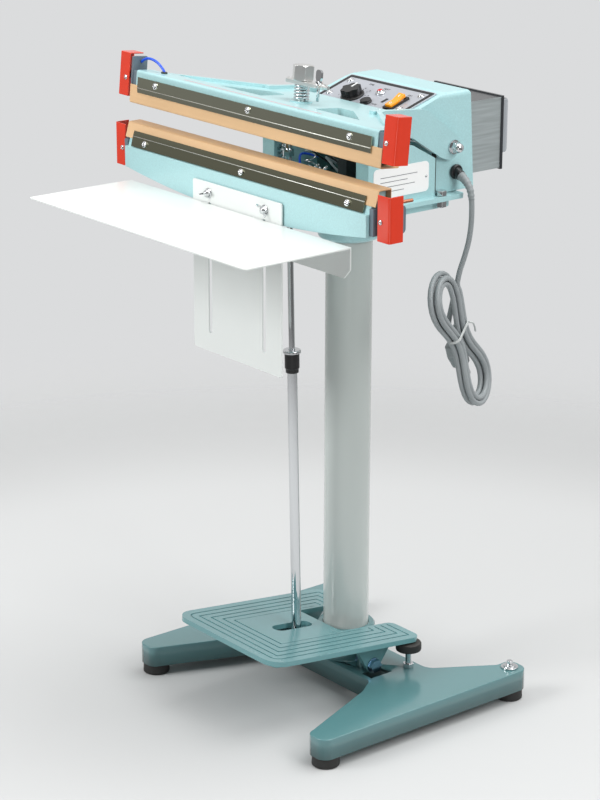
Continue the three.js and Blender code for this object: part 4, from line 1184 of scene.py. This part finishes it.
    def build(self) -> None:
        """Builds the cord, its plug, its strain relief and its tie."""
        line = self.centre_line()
        curve = bpy.data.curves.new("mains_cord", "CURVE")
        curve.dimensions = "3D"
        curve.bevel_depth = self.radius * MM
        curve.bevel_resolution = 4
        curve.use_fill_caps = True
        spline = curve.splines.new("POLY")
        spline.points.add(len(line) - 1)
        for point, where in zip(spline.points, line):
            point.co = (*where, 1.0)
        spline.use_smooth = True
        curve.materials.append(SHEATH_GREY.material())
        cord = bpy.data.objects.new("mains_cord", curve)
        bpy.context.scene.collection.objects.link(cord)
        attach(cord, "stand")
        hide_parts("cord_lead", "cord_hank")
        plug, relief, tie = self.plug(), self.strain_relief(), self.tie()
        dress("cord_gland", BLACK_PLASTIC, 0.4)


# ------------------------------------------------------------------ base, column and pedal
@dataclass
class BaseAndColumn:
    """The cast base with its feet, buffers and column."""

    rim_radius: float = 2.4
    rim_span: float = 60.0
    foot_top: float = 13.8
    buffer_bottom: float = 67.0

    @staticmethod
    def is_rim(edge: bmesh.types.BMEdge) -> bool:
        """Says whether an edge lies between a level top and an upright wall.

        Args:
            edge: an edge of the casting.

        Returns:
            True for such an edge.
        """
        if len(edge.link_faces) != 2 or edge.calc_face_angle(0.0) <= SHARP_EDGE:
            return False
        rises = [face.normal.z for face in edge.link_faces]
        return max(rises) > 0.9 and abs(min(rises)) < 0.3

    @staticmethod
    def ends_of(points: Iterable[Vector]) -> frozenset[tuple[float, ...]]:
        """Returns an edge's ends to a micrometre, so that two meshes can be compared."""
        return frozenset(tuple(round(c, 6) for c in point) for point in points)

    def round_rim(self, node: str, radius: float) -> None:
        """Rounds the long rims of a casting more than the rest of its edges.

        Args:
            node: the CAD node.
            radius: how wide the rims are rounded, in millimetres.
        """
        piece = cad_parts[node]
        shape = bmesh.new()
        shape.from_mesh(piece.data)
        bmesh.ops.remove_doubles(shape, verts=shape.verts, dist=SAME_PLACE)
        sharp = {edge for edge in shape.edges if self.is_rim(edge)}
        rims = []
        while sharp:
            chain, waiting = [], [sharp.pop()]
            while waiting:
                edge = waiting.pop()
                chain.append(edge)
                near = {n for v in edge.verts for n in v.link_edges if n in sharp}
                sharp -= near
                waiting.extend(near)
            reach = [v.co.x for e in chain for v in e.verts]
            if max(reach) - min(reach) > self.rim_span * MM:
                rims.extend(self.ends_of(v.co for v in e.verts) for e in chain)
        shape.free()
        rim_set = set(rims)
        weights = piece.data.attributes.new("bevel_weight_edge", "FLOAT", "EDGE")
        for i, edge in enumerate(piece.data.edges):
            ends = self.ends_of(piece.data.vertices[v].co for v in edge.vertices)
            weights.data[i].value = 1.0 if ends in rim_set else 0.0
        bevel = piece.modifiers["edges"]
        bevel.limit_method = "WEIGHT"
        bevel.width = radius * MM
        bevel.segments = 3
        LOG.info("rounded %d rim edges of %s", len(rim_set), node)

    def build(self) -> None:
        """Dresses the base, the feet, the buffers and the column."""
        dress("base_casting", BASE_ENAMEL, 0.5)
        self.round_rim("base_casting", self.rim_radius)
        dress("column_tube", COLUMN_ENAMEL, 0.4)
        for side in ("left", "right"):
            dress(f"rubber_foot_front_{side}", RUBBER, 0.8)
            dress(
                f"rubber_foot_rear_{side}",
                RUBBER,
                0.5,
                [(CHROME, lambda c: c.z > self.foot_top * MM)],
            )
            dress(
                f"pedal_buffer_{side}",
                RUBBER,
                0.6,
                [(CHROME, lambda c: c.z < self.buffer_bottom * MM)],
            )
            dress(f"pedal_bolt_{side}", BLUE_ZINC, 0.5)


@dataclass
class PedalLinkage:
    """The foot pedal and the rod that pulls the arm down."""

    collar_top: float = 475.0

    def build(self) -> None:
        """Dresses the pedal, the rod, the tube and the collar between them."""
        # The pedal takes the lighter copy of the base paint, a painted sheen.
        dress("foot_pedal", PEDAL_SHEEN_ENAMEL, 0.7)
        dress("lower_pull_tube", CHROME, 0.3)
        dress("upper_pull_rod", CHROME, 0.3)
        dress("rod_collar", BLACK_PLASTIC, 0.3, [(CHROME, lambda c: c.z > self.collar_top * MM)])


# ------------------------------------------------------------------ head and jaws
@dataclass
class Head:
    """The castings that carry the jaws, with the blank plate on the right wall."""

    wall_x: float = 103.0
    plate_y: tuple[float, float] = (-50.0, 40.0)
    plate_z: tuple[float, float] = (685.0, 723.0)
    rule_ends: tuple[tuple[float, float], ...] = (
        (-34.0, 26.0), (-34.0, 10.0), (-34.0, 22.0), (-34.0, 4.0)
    )
    rivet_inset: float = 4.5
    floor_z: float = 676.2
    seam_y: float = 51.0
    wing_nut_place: tuple[float, float] = (-6.0, -47.0)
    wing_nut_z: float = 700.0
    stop_place: tuple[float, float] = (-84.0, -40.0)
    stop_top: float = 716.0
    lead_radius: float = 1.5
    # Where the black strip stands in the gap between wall and housing, a painted shadow.
    gasket_x: tuple[float, float] = (96.0, 103.1)
    gasket_z: tuple[float, float] = (680.0, 738.5)

    def blank_plate(self) -> None:
        """Adds the white plate on the right wall, with plain ruled lines and two rivets."""
        width = self.plate_y[1] - self.plate_y[0]
        height = self.plate_z[1] - self.plate_z[0]
        middle_y, middle_z = sum(self.plate_y) / 2, sum(self.plate_z) / 2
        turn = Matrix(((0, 0, 1, 0), (1, 0, 0, 0), (0, 1, 0, 0), (0, 0, 0, 1)))
        stand = row_matrix() @ Matrix.Translation((self.wall_x, middle_y, middle_z)) @ turn
        blank = plate(round_rectangle(width, height, 6.0), 0.25, 0.65)
        add_piece("blank_plate", blank, LABEL_WHITE, "stand", stand, False)
        rules = []
        for row, (left, right) in enumerate(self.rule_ends):
            bar = plate([(left, -0.35), (right, -0.35), (right, 0.35), (left, 0.35)], 0.65, 0.72)
            rules.append(moved(bar, Matrix.Translation((0.0, 7.0 - 6.0 * row, 0.0))))
        add_piece("plate_rules", merged(*rules), PRINT_GREY, "stand", stand, False)
        dome = [(0.0, 1.6), (1.0, 1.5), (1.8, 1.0), (2.1, 0.5), (0.0, 0.5)]
        rivets = []
        for x in (-width / 2 + self.rivet_inset, width / 2 - self.rivet_inset):
            rivets.append(moved(turned(dome, 24), Matrix.Translation((x, 0, 0))))
        add_piece("plate_rivets", merged(*rivets), CHROME, "stand", stand)

    def wing_nut(self) -> None:
        """Adds the wing nut and its stud, which hold the pull rod's stop inside the head."""
        x, y = self.wing_nut_place
        low, top = self.floor_z, self.wing_nut_z + 11.5
        stud = turned([(0.0, low), (2.4, low), (2.4, top - 1.0), (1.8, top), (0.0, top)], 20)
        collar = turned([(0.0, low), (6.0, low), (6.0, low + 5), (0.0, low + 5)], 6)
        turn = Matrix.Rotation(0.5, 4, "Z") @ Matrix.Scale(1.25, 4)
        nut = moved(winged_head(), Matrix.Translation((0.0, 0.0, self.wing_nut_z)) @ turn)
        matrix = row_matrix() @ Matrix.Translation((x, y, 0.0))
        add_piece("stop_wing_nut", merged(stud, collar, nut), CHROME, "stand", matrix)

    def stop_spring(self) -> None:
        """Adds the sprung stud beside the column, with its washer and nut."""
        x, y = self.stop_place
        top = self.stop_top
        turns, steps = 6, 24
        line = []
        for i in range(turns * steps + 1):
            angle = 2 * math.pi * i / steps
            rise = (top - self.floor_z - 4.0) * i / (turns * steps)
            line.append(
                Vector((6.4 * math.cos(angle), 6.4 * math.sin(angle), self.floor_z + 1.3 + rise))
            )
        low = self.floor_z
        stud = turned(
            [(0.0, low), (2.6, low), (2.6, top + 9), (1.8, top + 10), (0.0, top + 10)], 20
        )
        washer = turned([(0.0, top), (8.4, top), (8.4, top + 1.4), (0.0, top + 1.4)], 32)
        nut = turned([(0.0, top + 1.4), (5.5, top + 1.4), (5.5, top + 6), (0.0, top + 6)], 6)
        shape = merged(tube(line, [1.3] * len(line), 10), stud, washer, nut)
        add_piece(
            "stop_spring", shape, CHROME, "stand", row_matrix() @ Matrix.Translation((x, y, 0.0))
        )

    def inner_leads(self) -> None:
        """Adds the insulated leads that loop between the timer board and the switch."""
        loops = (
            ("black", BLACK_PLASTIC, (
                (-46, 2, 700), (-44, -22, 716), (-26, -36, 728), (-2, -34, 722), (14, -18, 706), (
                    24, 0, 694
                ),
            )),
            ("grey", SHEATH_GREY, (
                (-30, 4, 700), (-24, -18, 712), (-6, -30, 714), (12, -26, 700), (30, -10, 688),
            )),
            ("blue", WIRE_BLUE, (
                (-60, 2, 704), (-62, -26, 712), (-48, -42, 706), (-30, -50, 690), (-20, -52, 678),
            )),
        )
        for name, finish, points in loops:
            line = smooth_line([Vector(p) for p in points], 8)
            lead = tube(line, [self.lead_radius] * len(line), 12)
            add_piece(f"inner_lead_{name}", lead, finish, "stand", row_matrix())

    def seams(self) -> None:
        """Adds a thin black strip where each side wall meets the housing: a painted shadow for the
        shade in the gap between them.
        """
        for name, side in (("left", -1), ("right", 1)):
            front, back = self.seam_y + 0.05, self.seam_y + 1.1
            inner, outer = self.gasket_x
            shape = plate(
                [(inner, front), (outer, front), (outer, back), (inner, back)], *self.gasket_z
            )
            mirror = row_matrix() @ Matrix.Scale(side, 4, (1, 0, 0))
            add_piece(f"wall_shadow_strip_{name}", shape, RUBBER, "stand", mirror, False)

    def build(self) -> None:
        """Dresses the castings of the head and adds the plate and the inner fittings."""
        dress("head_saddle", HEAD_ENAMEL, 1.2)
        dress("head_base", HEAD_ENAMEL, 0.9)
        dress("lower_jaw", HEAD_ENAMEL, 1.2)
        dress("upper_arm", HEAD_ENAMEL, 1.3)
        dress("pivot_shaft", CHROME, 0.4)
        dress("return_spring", ZINC, 0.1)
        dress("limit_switch", BLACK_PLASTIC, 0.5)
        dress("timer_board", BOARD_GREEN, 0.3)
        for side in ("left", "right"):
            dress(f"head_bolt_{side}", CHROME, 0.5)
        self.blank_plate()
        self.wing_nut()
        self.stop_spring()
        self.inner_leads()
        # a painted shadow in the gap at each wall
        self.seams()


@dataclass
class Jaws:
    """The cloth covers, strips, end caps and fittings on the arm. Millimetres, arm closed."""

    upper_screws: tuple[float, ...] = (-190.0, 0.0, 190.0)
    lower_screws: tuple[float, ...] = (-200.0, 0.0, 200.0)
    upper_screw_place: tuple[float, float] = (-166.0, 770.6)
    lower_screw_place: tuple[float, float] = (-172.1, 719.5)
    strip_screw: tuple[float, float] = (4.3, 2.6)
    strip_lean: float = math.radians(17)
    crease_ends: tuple[float, ...] = (-228.2, -228.0, 228.0, 228.2)
    cap_screw: tuple[float, float] = (3.1, 1.9)
    cap_screw_x: float = 254.3
    upper_cap_screw: tuple[float, float] = (-166.6, 773.4)
    lower_cap_screw: tuple[float, float] = (-169.1, 706.3)
    pressure_y: float = -84.5
    spring_foot: float = 780.8
    spring_radius: float = 8.4
    spring_wire: float = 1.5
    spring_height: float = 19.5
    spring_turns: int = 5
    jumper_radius: float = 1.7
    grommet_place: tuple[float, float, float] = (-201.4, -145.4, 784.9)
    stud_place: tuple[float, float, float] = (262.0, -136.0, 728.0)
    stud_way: tuple[float, float, float] = (0.35, 1.0, 0.1)
    stripe_x: tuple[float, float] = (-150.0, 120.0)
    stripe_y: tuple[float, float] = (-153.0, -151.4)
    stripe_z: tuple[float, float] = (785.05, 785.15)

    def screws(self) -> None:
        """Adds the domed screws on the strips and the end caps."""
        lean = (0.0, -math.cos(self.strip_lean), math.sin(self.strip_lean))
        front = (0, -1, 0)
        upper, lower = [], []
        for x in self.upper_screws:
            y, z = self.upper_screw_place
            upper.append(moved(screw_head(*self.strip_screw), facing(x, y - 0.8, z, front)))
        for x in self.lower_screws:
            spot = Vector((x, *self.lower_screw_place)) + Vector(lean) * 0.8
            lower.append(moved(screw_head(*self.strip_screw), facing(*spot, lean)))
        for x in (-self.cap_screw_x, self.cap_screw_x):
            upper.append(
                moved(screw_head(*self.cap_screw), facing(x, *self.upper_cap_screw, front))
            )
            lower.append(
                moved(screw_head(*self.cap_screw), facing(x, *self.lower_cap_screw, front))
            )
        add_piece("upper_screw_heads", merged(*upper), CHROME, "arm", open_arm())
        add_piece("lower_screw_heads", merged(*lower), CHROME, "stand", row_matrix())

    def pressure_coil(self) -> None:
        """Replaces the pressure spring with a round-wire coil whose ends lie flat."""
        around = 40
        steps = around * self.spring_turns
        rise = self.spring_height - 2 * self.spring_wire
        line = []
        for i in range(steps + 1):
            share = i / steps
            level = min(max((share - 0.07) / 0.86, 0.0), 1.0)
            angle = 2 * math.pi * i / around
            x, y = self.spring_radius * math.cos(angle), self.spring_radius * math.sin(angle)
            z = self.spring_foot + self.spring_wire + rise * level
            line.append(Vector((x, self.pressure_y + y, z)))
        wire = tube(line, [self.spring_wire] * len(line), 12)
        coil = add_piece("pressure_coil", wire, CHROME, "arm", open_arm())
        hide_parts("pressure_spring")

    def jumper(self) -> None:
        """Replaces the jumper wire with a bowed wire, and adds a rubber grommet at its inner end."""
        path = [
            (-243.4, -151.0, 794.0), (-240.0, -151.2, 796.6), (-233.0, -150.8, 799.6), (
                -224.0, -149.6, 800.0
            ),
            (-214.0, -147.8, 797.0), (-206.0, -146.2, 791.6), (-202.0, -145.5, 787.6), (
                -201.4, -145.4, 785.4
            ),
        ]
        line = smooth_line([Vector(p) for p in path], 6)
        shape = tube(line, [self.jumper_radius] * len(line), 14)
        wire = add_piece("jumper_lead", shape, WIRE_BLUE, "arm", open_arm())
        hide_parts("jumper_wire")
        lip = [(0.0, 0.3), (4.2, 0.3), (4.2, 1.4), (3.4, 2.2), (2.0, 2.2), (2.0, 1.0), (0.0, 1.0)]
        stand = open_arm() @ Matrix.Translation(self.grommet_place)
        add_piece("jumper_grommet", turned(lip, 28), RUBBER, "arm", stand)

    def creases(self) -> None:
        """Adds a thin line along the fold of each polished strip, thinner at its ends, in a brighter,
        rougher copy of the strip steel: a painted highlight along the fold.
        """
        for name, body, matrix, y, z in (
            ("upper", "arm", open_arm(), -167.2, 763.4),
            ("lower", "stand", row_matrix(), -170.6, 725.8),
        ):
            line = [Vector((x, y, z)) for x in self.crease_ends]
            crease = tube(line, [0.15, 0.45, 0.45, 0.15], 8)
            add_piece(f"{name}_strip_crease_highlight", crease, CREASE_HIGHLIGHT_STEEL, body, matrix)

    def contact_stud(self) -> None:
        """Adds the copper stud behind the lower right cap, which feeds the heating element."""
        profile = [(0.0, -9.0), (2.2, -9.0)]
        for i in range(14):
            profile.extend([(2.2, -8.0 + i), (1.9, -7.5 + i)])
        shape = turned([*profile, (2.2, 6.5), (2.0, 7.2), (0.0, 7.6)], 20)
        stand = row_matrix() @ facing(*self.stud_place, self.stud_way)
        add_piece("contact_stud", shape, COPPER_STUD, "stand", stand)

    def stripe(self) -> None:
        """Adds the thin printed line along the top of the arm's bar."""
        (left, right), (front, back) = self.stripe_x, self.stripe_y
        line = plate([(left, front), (right, front), (right, back), (left, back)], *self.stripe_z)
        add_piece("arm_stripe", line, PRINT_RED, "arm", open_arm(), False)

    def build(self) -> None:
        """Dresses both jaws and adds their small pieces."""
        for level in ("upper", "lower"):
            dress(f"{level}_seal_cover", GLASS_CLOTH, 0.35)
            # The lower strip takes the darker copy of the same steel, a painted shade.
            steel = STRIP_STEEL if level == "upper" else DARKENED_LOWER_STRIP_STEEL
            dress(f"{level}_cover_strip", steel, 0.15)
            dress(f"{level}_element", ELEMENT_STEEL, 0.1)
            for side in ("left", "right"):
                dress(f"{level}_cap_{side}", CAP_RED, 0.9)
                dress(f"{level}_end_plate_{side}", BOARD_GREY, 0.3)
        # The bridge bar and the pressure nut take the brightened chrome, a painted highlight.
        dress("bridge_bar", BRIGHTENED_CHROME, 0.5)
        dress("pressure_nut", BRIGHTENED_CHROME, 0.5)
        dress("thumb_screw", CHROME, 0.5)
        self.screws()
        self.pressure_coil()
        self.jumper()
        self.stripe()
        self.creases()
        self.contact_stud()


# ------------------------------------------------------------------ controls
@dataclass
class Controls:
    """The housing with its panel, switch, knob, lamp and fuse, and the transformer behind it."""

    knob: tuple[float, float] = (-27.0, -14.0)
    rocker: tuple[float, float] = (51.0, -9.0)
    panel: tuple[float, float] = (163.0, 66.0)
    scale_marks: int = 9
    scale_radius: tuple[float, float] = (17.2, 20.0)
    figure_radius: float = 22.6
    figure_size: float = 4.2
    word_size: float = 4.4
    words: tuple[tuple[str, float, float], ...] = (
        ("TIME", -27.0, 19.5), ("ON", 51.0, 14.5), ("FUSE", 22.0, -21.0), ("HEAT", 5.0, 17.0),
    )
    panel_screws: tuple[float, float] = (67.5, 18.5)
    slot: tuple[float, float] = (28.0, -8.0)
    pointer_top: float = 11.65
    pointer_half: float = 1.2
    lens_foot: float = 3.8
    end_plate_y: float = 186.0
    core_top: float = 779.5
    # heights of the bell's painted highlight band
    bell_z: tuple[float, float] = (708.0, 767.0)

    def over_panel(self, height: float) -> Callable[[Vector], bool]:
        """Returns a test for faces more than a height over the slope, in millimetres."""
        inverse = panel_plane().inverted()
        return lambda centre: (inverse @ centre).z > height

    def printing(self) -> None:
        """Adds the black border, the knob's scale, the plain words and the panel screws."""
        top = panel_plane() @ Matrix.Translation((0.0, 0.0, PANEL_FACE + 0.02))
        width, height = self.panel
        outer = round_rectangle(width - 3, height - 3, 2.5)
        inner = round_rectangle(width - 14, height - 13, 1.0)
        border = frame_plate(outer, inner, 0.0, 0.14)
        add_piece("panel_border", border, PRINT_BLACK, "stand", top, False)
        lift = Matrix.Translation((0, 0, 0.06))
        marks = []
        for i in range(self.scale_marks):
            angle = math.radians(225 - 270 * i / (self.scale_marks - 1))
            near, far = self.scale_radius
            stroke = plate([(near, -0.3), (far, -0.3), (far, 0.3), (near, 0.3)], 0.0, 0.12)
            round_knob = Matrix.Translation((*self.knob, 0.0)) @ Matrix.Rotation(angle, 4, "Z")
            marks.append(moved(stroke, round_knob))
            x = self.knob[0] + self.figure_radius * math.cos(angle)
            y = self.knob[1] + self.figure_radius * math.sin(angle)
            if i and abs(y) < 25:
                marks.append(moved(letters(str(i), self.figure_size, x, y), lift))
        for word, x, y in self.words:
            marks.append(moved(letters(word, self.word_size, x, y), lift))
        add_piece("panel_marks", merged(*marks), PRINT_BLACK, "stand", top, False)
        slot = plate(round_rectangle(4.6, 11.0, 1.0), 0.0, 0.16)
        stand = top @ Matrix.Translation((*self.slot, 0.0))
        add_piece("panel_slot", slot, PRINT_BLACK, "stand", stand, False)
        screws = []
        reach_x, reach_y = self.panel_screws
        for x, y in (
            (-reach_x, reach_y), (reach_x, reach_y), (-reach_x, -reach_y), (reach_x, -reach_y)
        ):
            washer = turned([(0.0, 0.5), (4.6, 0.5), (4.6, 0.0), (0.0, 0.0)], 32)
            head = moved(screw_head(3.6, 2.2), Matrix.Translation((0, 0, 0.5)))
            screws.append(moved(merged(washer, head), Matrix.Translation((x, y, 0.0))))
        add_piece("panel_screws", merged(*screws), CHROME, "stand", top)

    def rocker_marks(self) -> None:
        """Adds the two embossed marks of the rocker."""
        tip = Matrix.Rotation(math.radians(8), 4, "X")
        stand = panel_plane() @ Matrix.Translation((*self.rocker, 5.6)) @ tip
        bar = plate([(-0.5, 6.0), (0.5, 6.0), (0.5, 10.0), (-0.5, 10.0)], 2.3, 3.2)
        angles = [a / 8 * math.pi for a in range(16)]
        outer, inner = (
            [(r * math.cos(a), -8 + r * math.sin(a)) for a in angles] for r in (1.9, 1.3)
        )
        ring = frame_plate(outer, inner, 2.3, 3.0)
        add_piece("rocker_marks", merged(bar, ring), POINTER_WHITE, "rocker_body", stand, False)

    def build(self) -> None:
        """Dresses the housing, the panel, its fittings and the transformer."""
        inverse = panel_plane().inverted()

        def on_pointer(centre: Vector) -> bool:
            """Says whether a face of the knob belongs to its pointer.

            Args:
                centre: the face's middle, in the row frame.

            Returns:
                True for a face of the pointer.
            """
            local = inverse @ centre
            high = local.z > PANEL_FACE + FITTING_GAP + self.pointer_top
            return high and abs(local.x - self.knob[0]) < self.pointer_half

        def on_black_core(centre: Vector) -> bool:
            """Says whether a face of the core belongs to its end plate or its top edge."""
            return centre.y > (self.end_plate_y + COLUMN_Y) * MM or centre.z > self.core_top * MM

        def on_bell_edge(centre: Vector) -> bool:
            """Says whether a face of the bell lies over or under its middle band, which is coloured
            light steel as a painted highlight on the satin black cover.
            """
            return not self.bell_z[0] * MM < centre.z < self.bell_z[1] * MM

        dress("control_housing", HEAD_ENAMEL, 1.0)
        dress(
            "control_panel", PANEL_SILVER, 0.2, [(BLACK_PLASTIC, self.over_panel(PANEL_FACE + 0.1))]
        )
        dress("timer_knob", BLACK_PLASTIC, 0.6, [(POINTER_WHITE, on_pointer)])
        dress("fuse_cap", BLACK_PLASTIC, 0.3)
        over_lens = self.over_panel(PANEL_FACE + FITTING_GAP + self.lens_foot)
        dress("indicator_lamp", CHROME, 0.2, [(LENS_RED, over_lens)])
        dress("rocker_switch", AMBER, 0.5)
        self.printing()
        self.rocker_marks()
        # The core's sides take the light grey painted reflection; its top edge and end plate stay
        # black.
        dress("transformer_core", CORE_SHEEN_GREY, 0.3, [(BELL_BLACK, on_black_core)])
        # The light band across the bell is a painted highlight; above and below it the cover is
        # black.
        dress("transformer_bell", BELL_PAINTED_HIGHLIGHT, 2.0, [(BELL_BLACK, on_bell_edge)])


@dataclass
class WorkTable:
    """The sheet table on its slotted back plate. Millimetres from the column's axis."""

    wing_x: float = 56.0
    wing_z: float = 684.5
    plate_front: float = -180.2
    wing_turn: tuple[float, float] = (math.radians(12), math.radians(-38))

    def wing_bolt(self, name: str, side: int, turn: float) -> None:
        """Replaces one wing bolt with a washer, a boss and two rounded wings.

        Args:
            name: left or right.
            side: -1 for the left bolt, 1 for the right one.
            turn: how far its wings are turned from level, in radians.
        """
        face = facing(side * self.wing_x, self.plate_front, self.wing_z, (0, -1, 0))
        matrix = row_matrix() @ face @ Matrix.Rotation(turn, 4, "Z")
        body = f"wing_bolt_{name}_body"
        bolt = add_piece(f"wing_bolt_head_{name}", winged_head(), CHROME, body, matrix)
        soften(bolt, 0.8, 3)
        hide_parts(f"wing_bolt_{name}")

    def build(self) -> None:
        """Dresses the table and adds its wing bolts."""
        dress("table_backplate", TABLE_ENAMEL, 0.4)
        dress("table_shelf", TABLE_ENAMEL, 0.5)
        dress("shelf_clamp", ZINC, 0.3)
        for (name, side), turn in zip((("left", -1), ("right", 1)), self.wing_turn):
            self.wing_bolt(name, side, turn)


def main() -> None:
    """Builds every sub-assembly."""
    logging.basicConfig(level=logging.INFO, format="%(name)s: %(message)s")
    assemblies = (
        Studio(), MainsCord(), BaseAndColumn(), PedalLinkage(),
        Head(), Jaws(), Controls(), WorkTable(),
    )
    for assembly in assemblies:
        LOG.info("building %s", type(assembly).__name__)
        assembly.build()


if __name__ == "__main__":
    main()
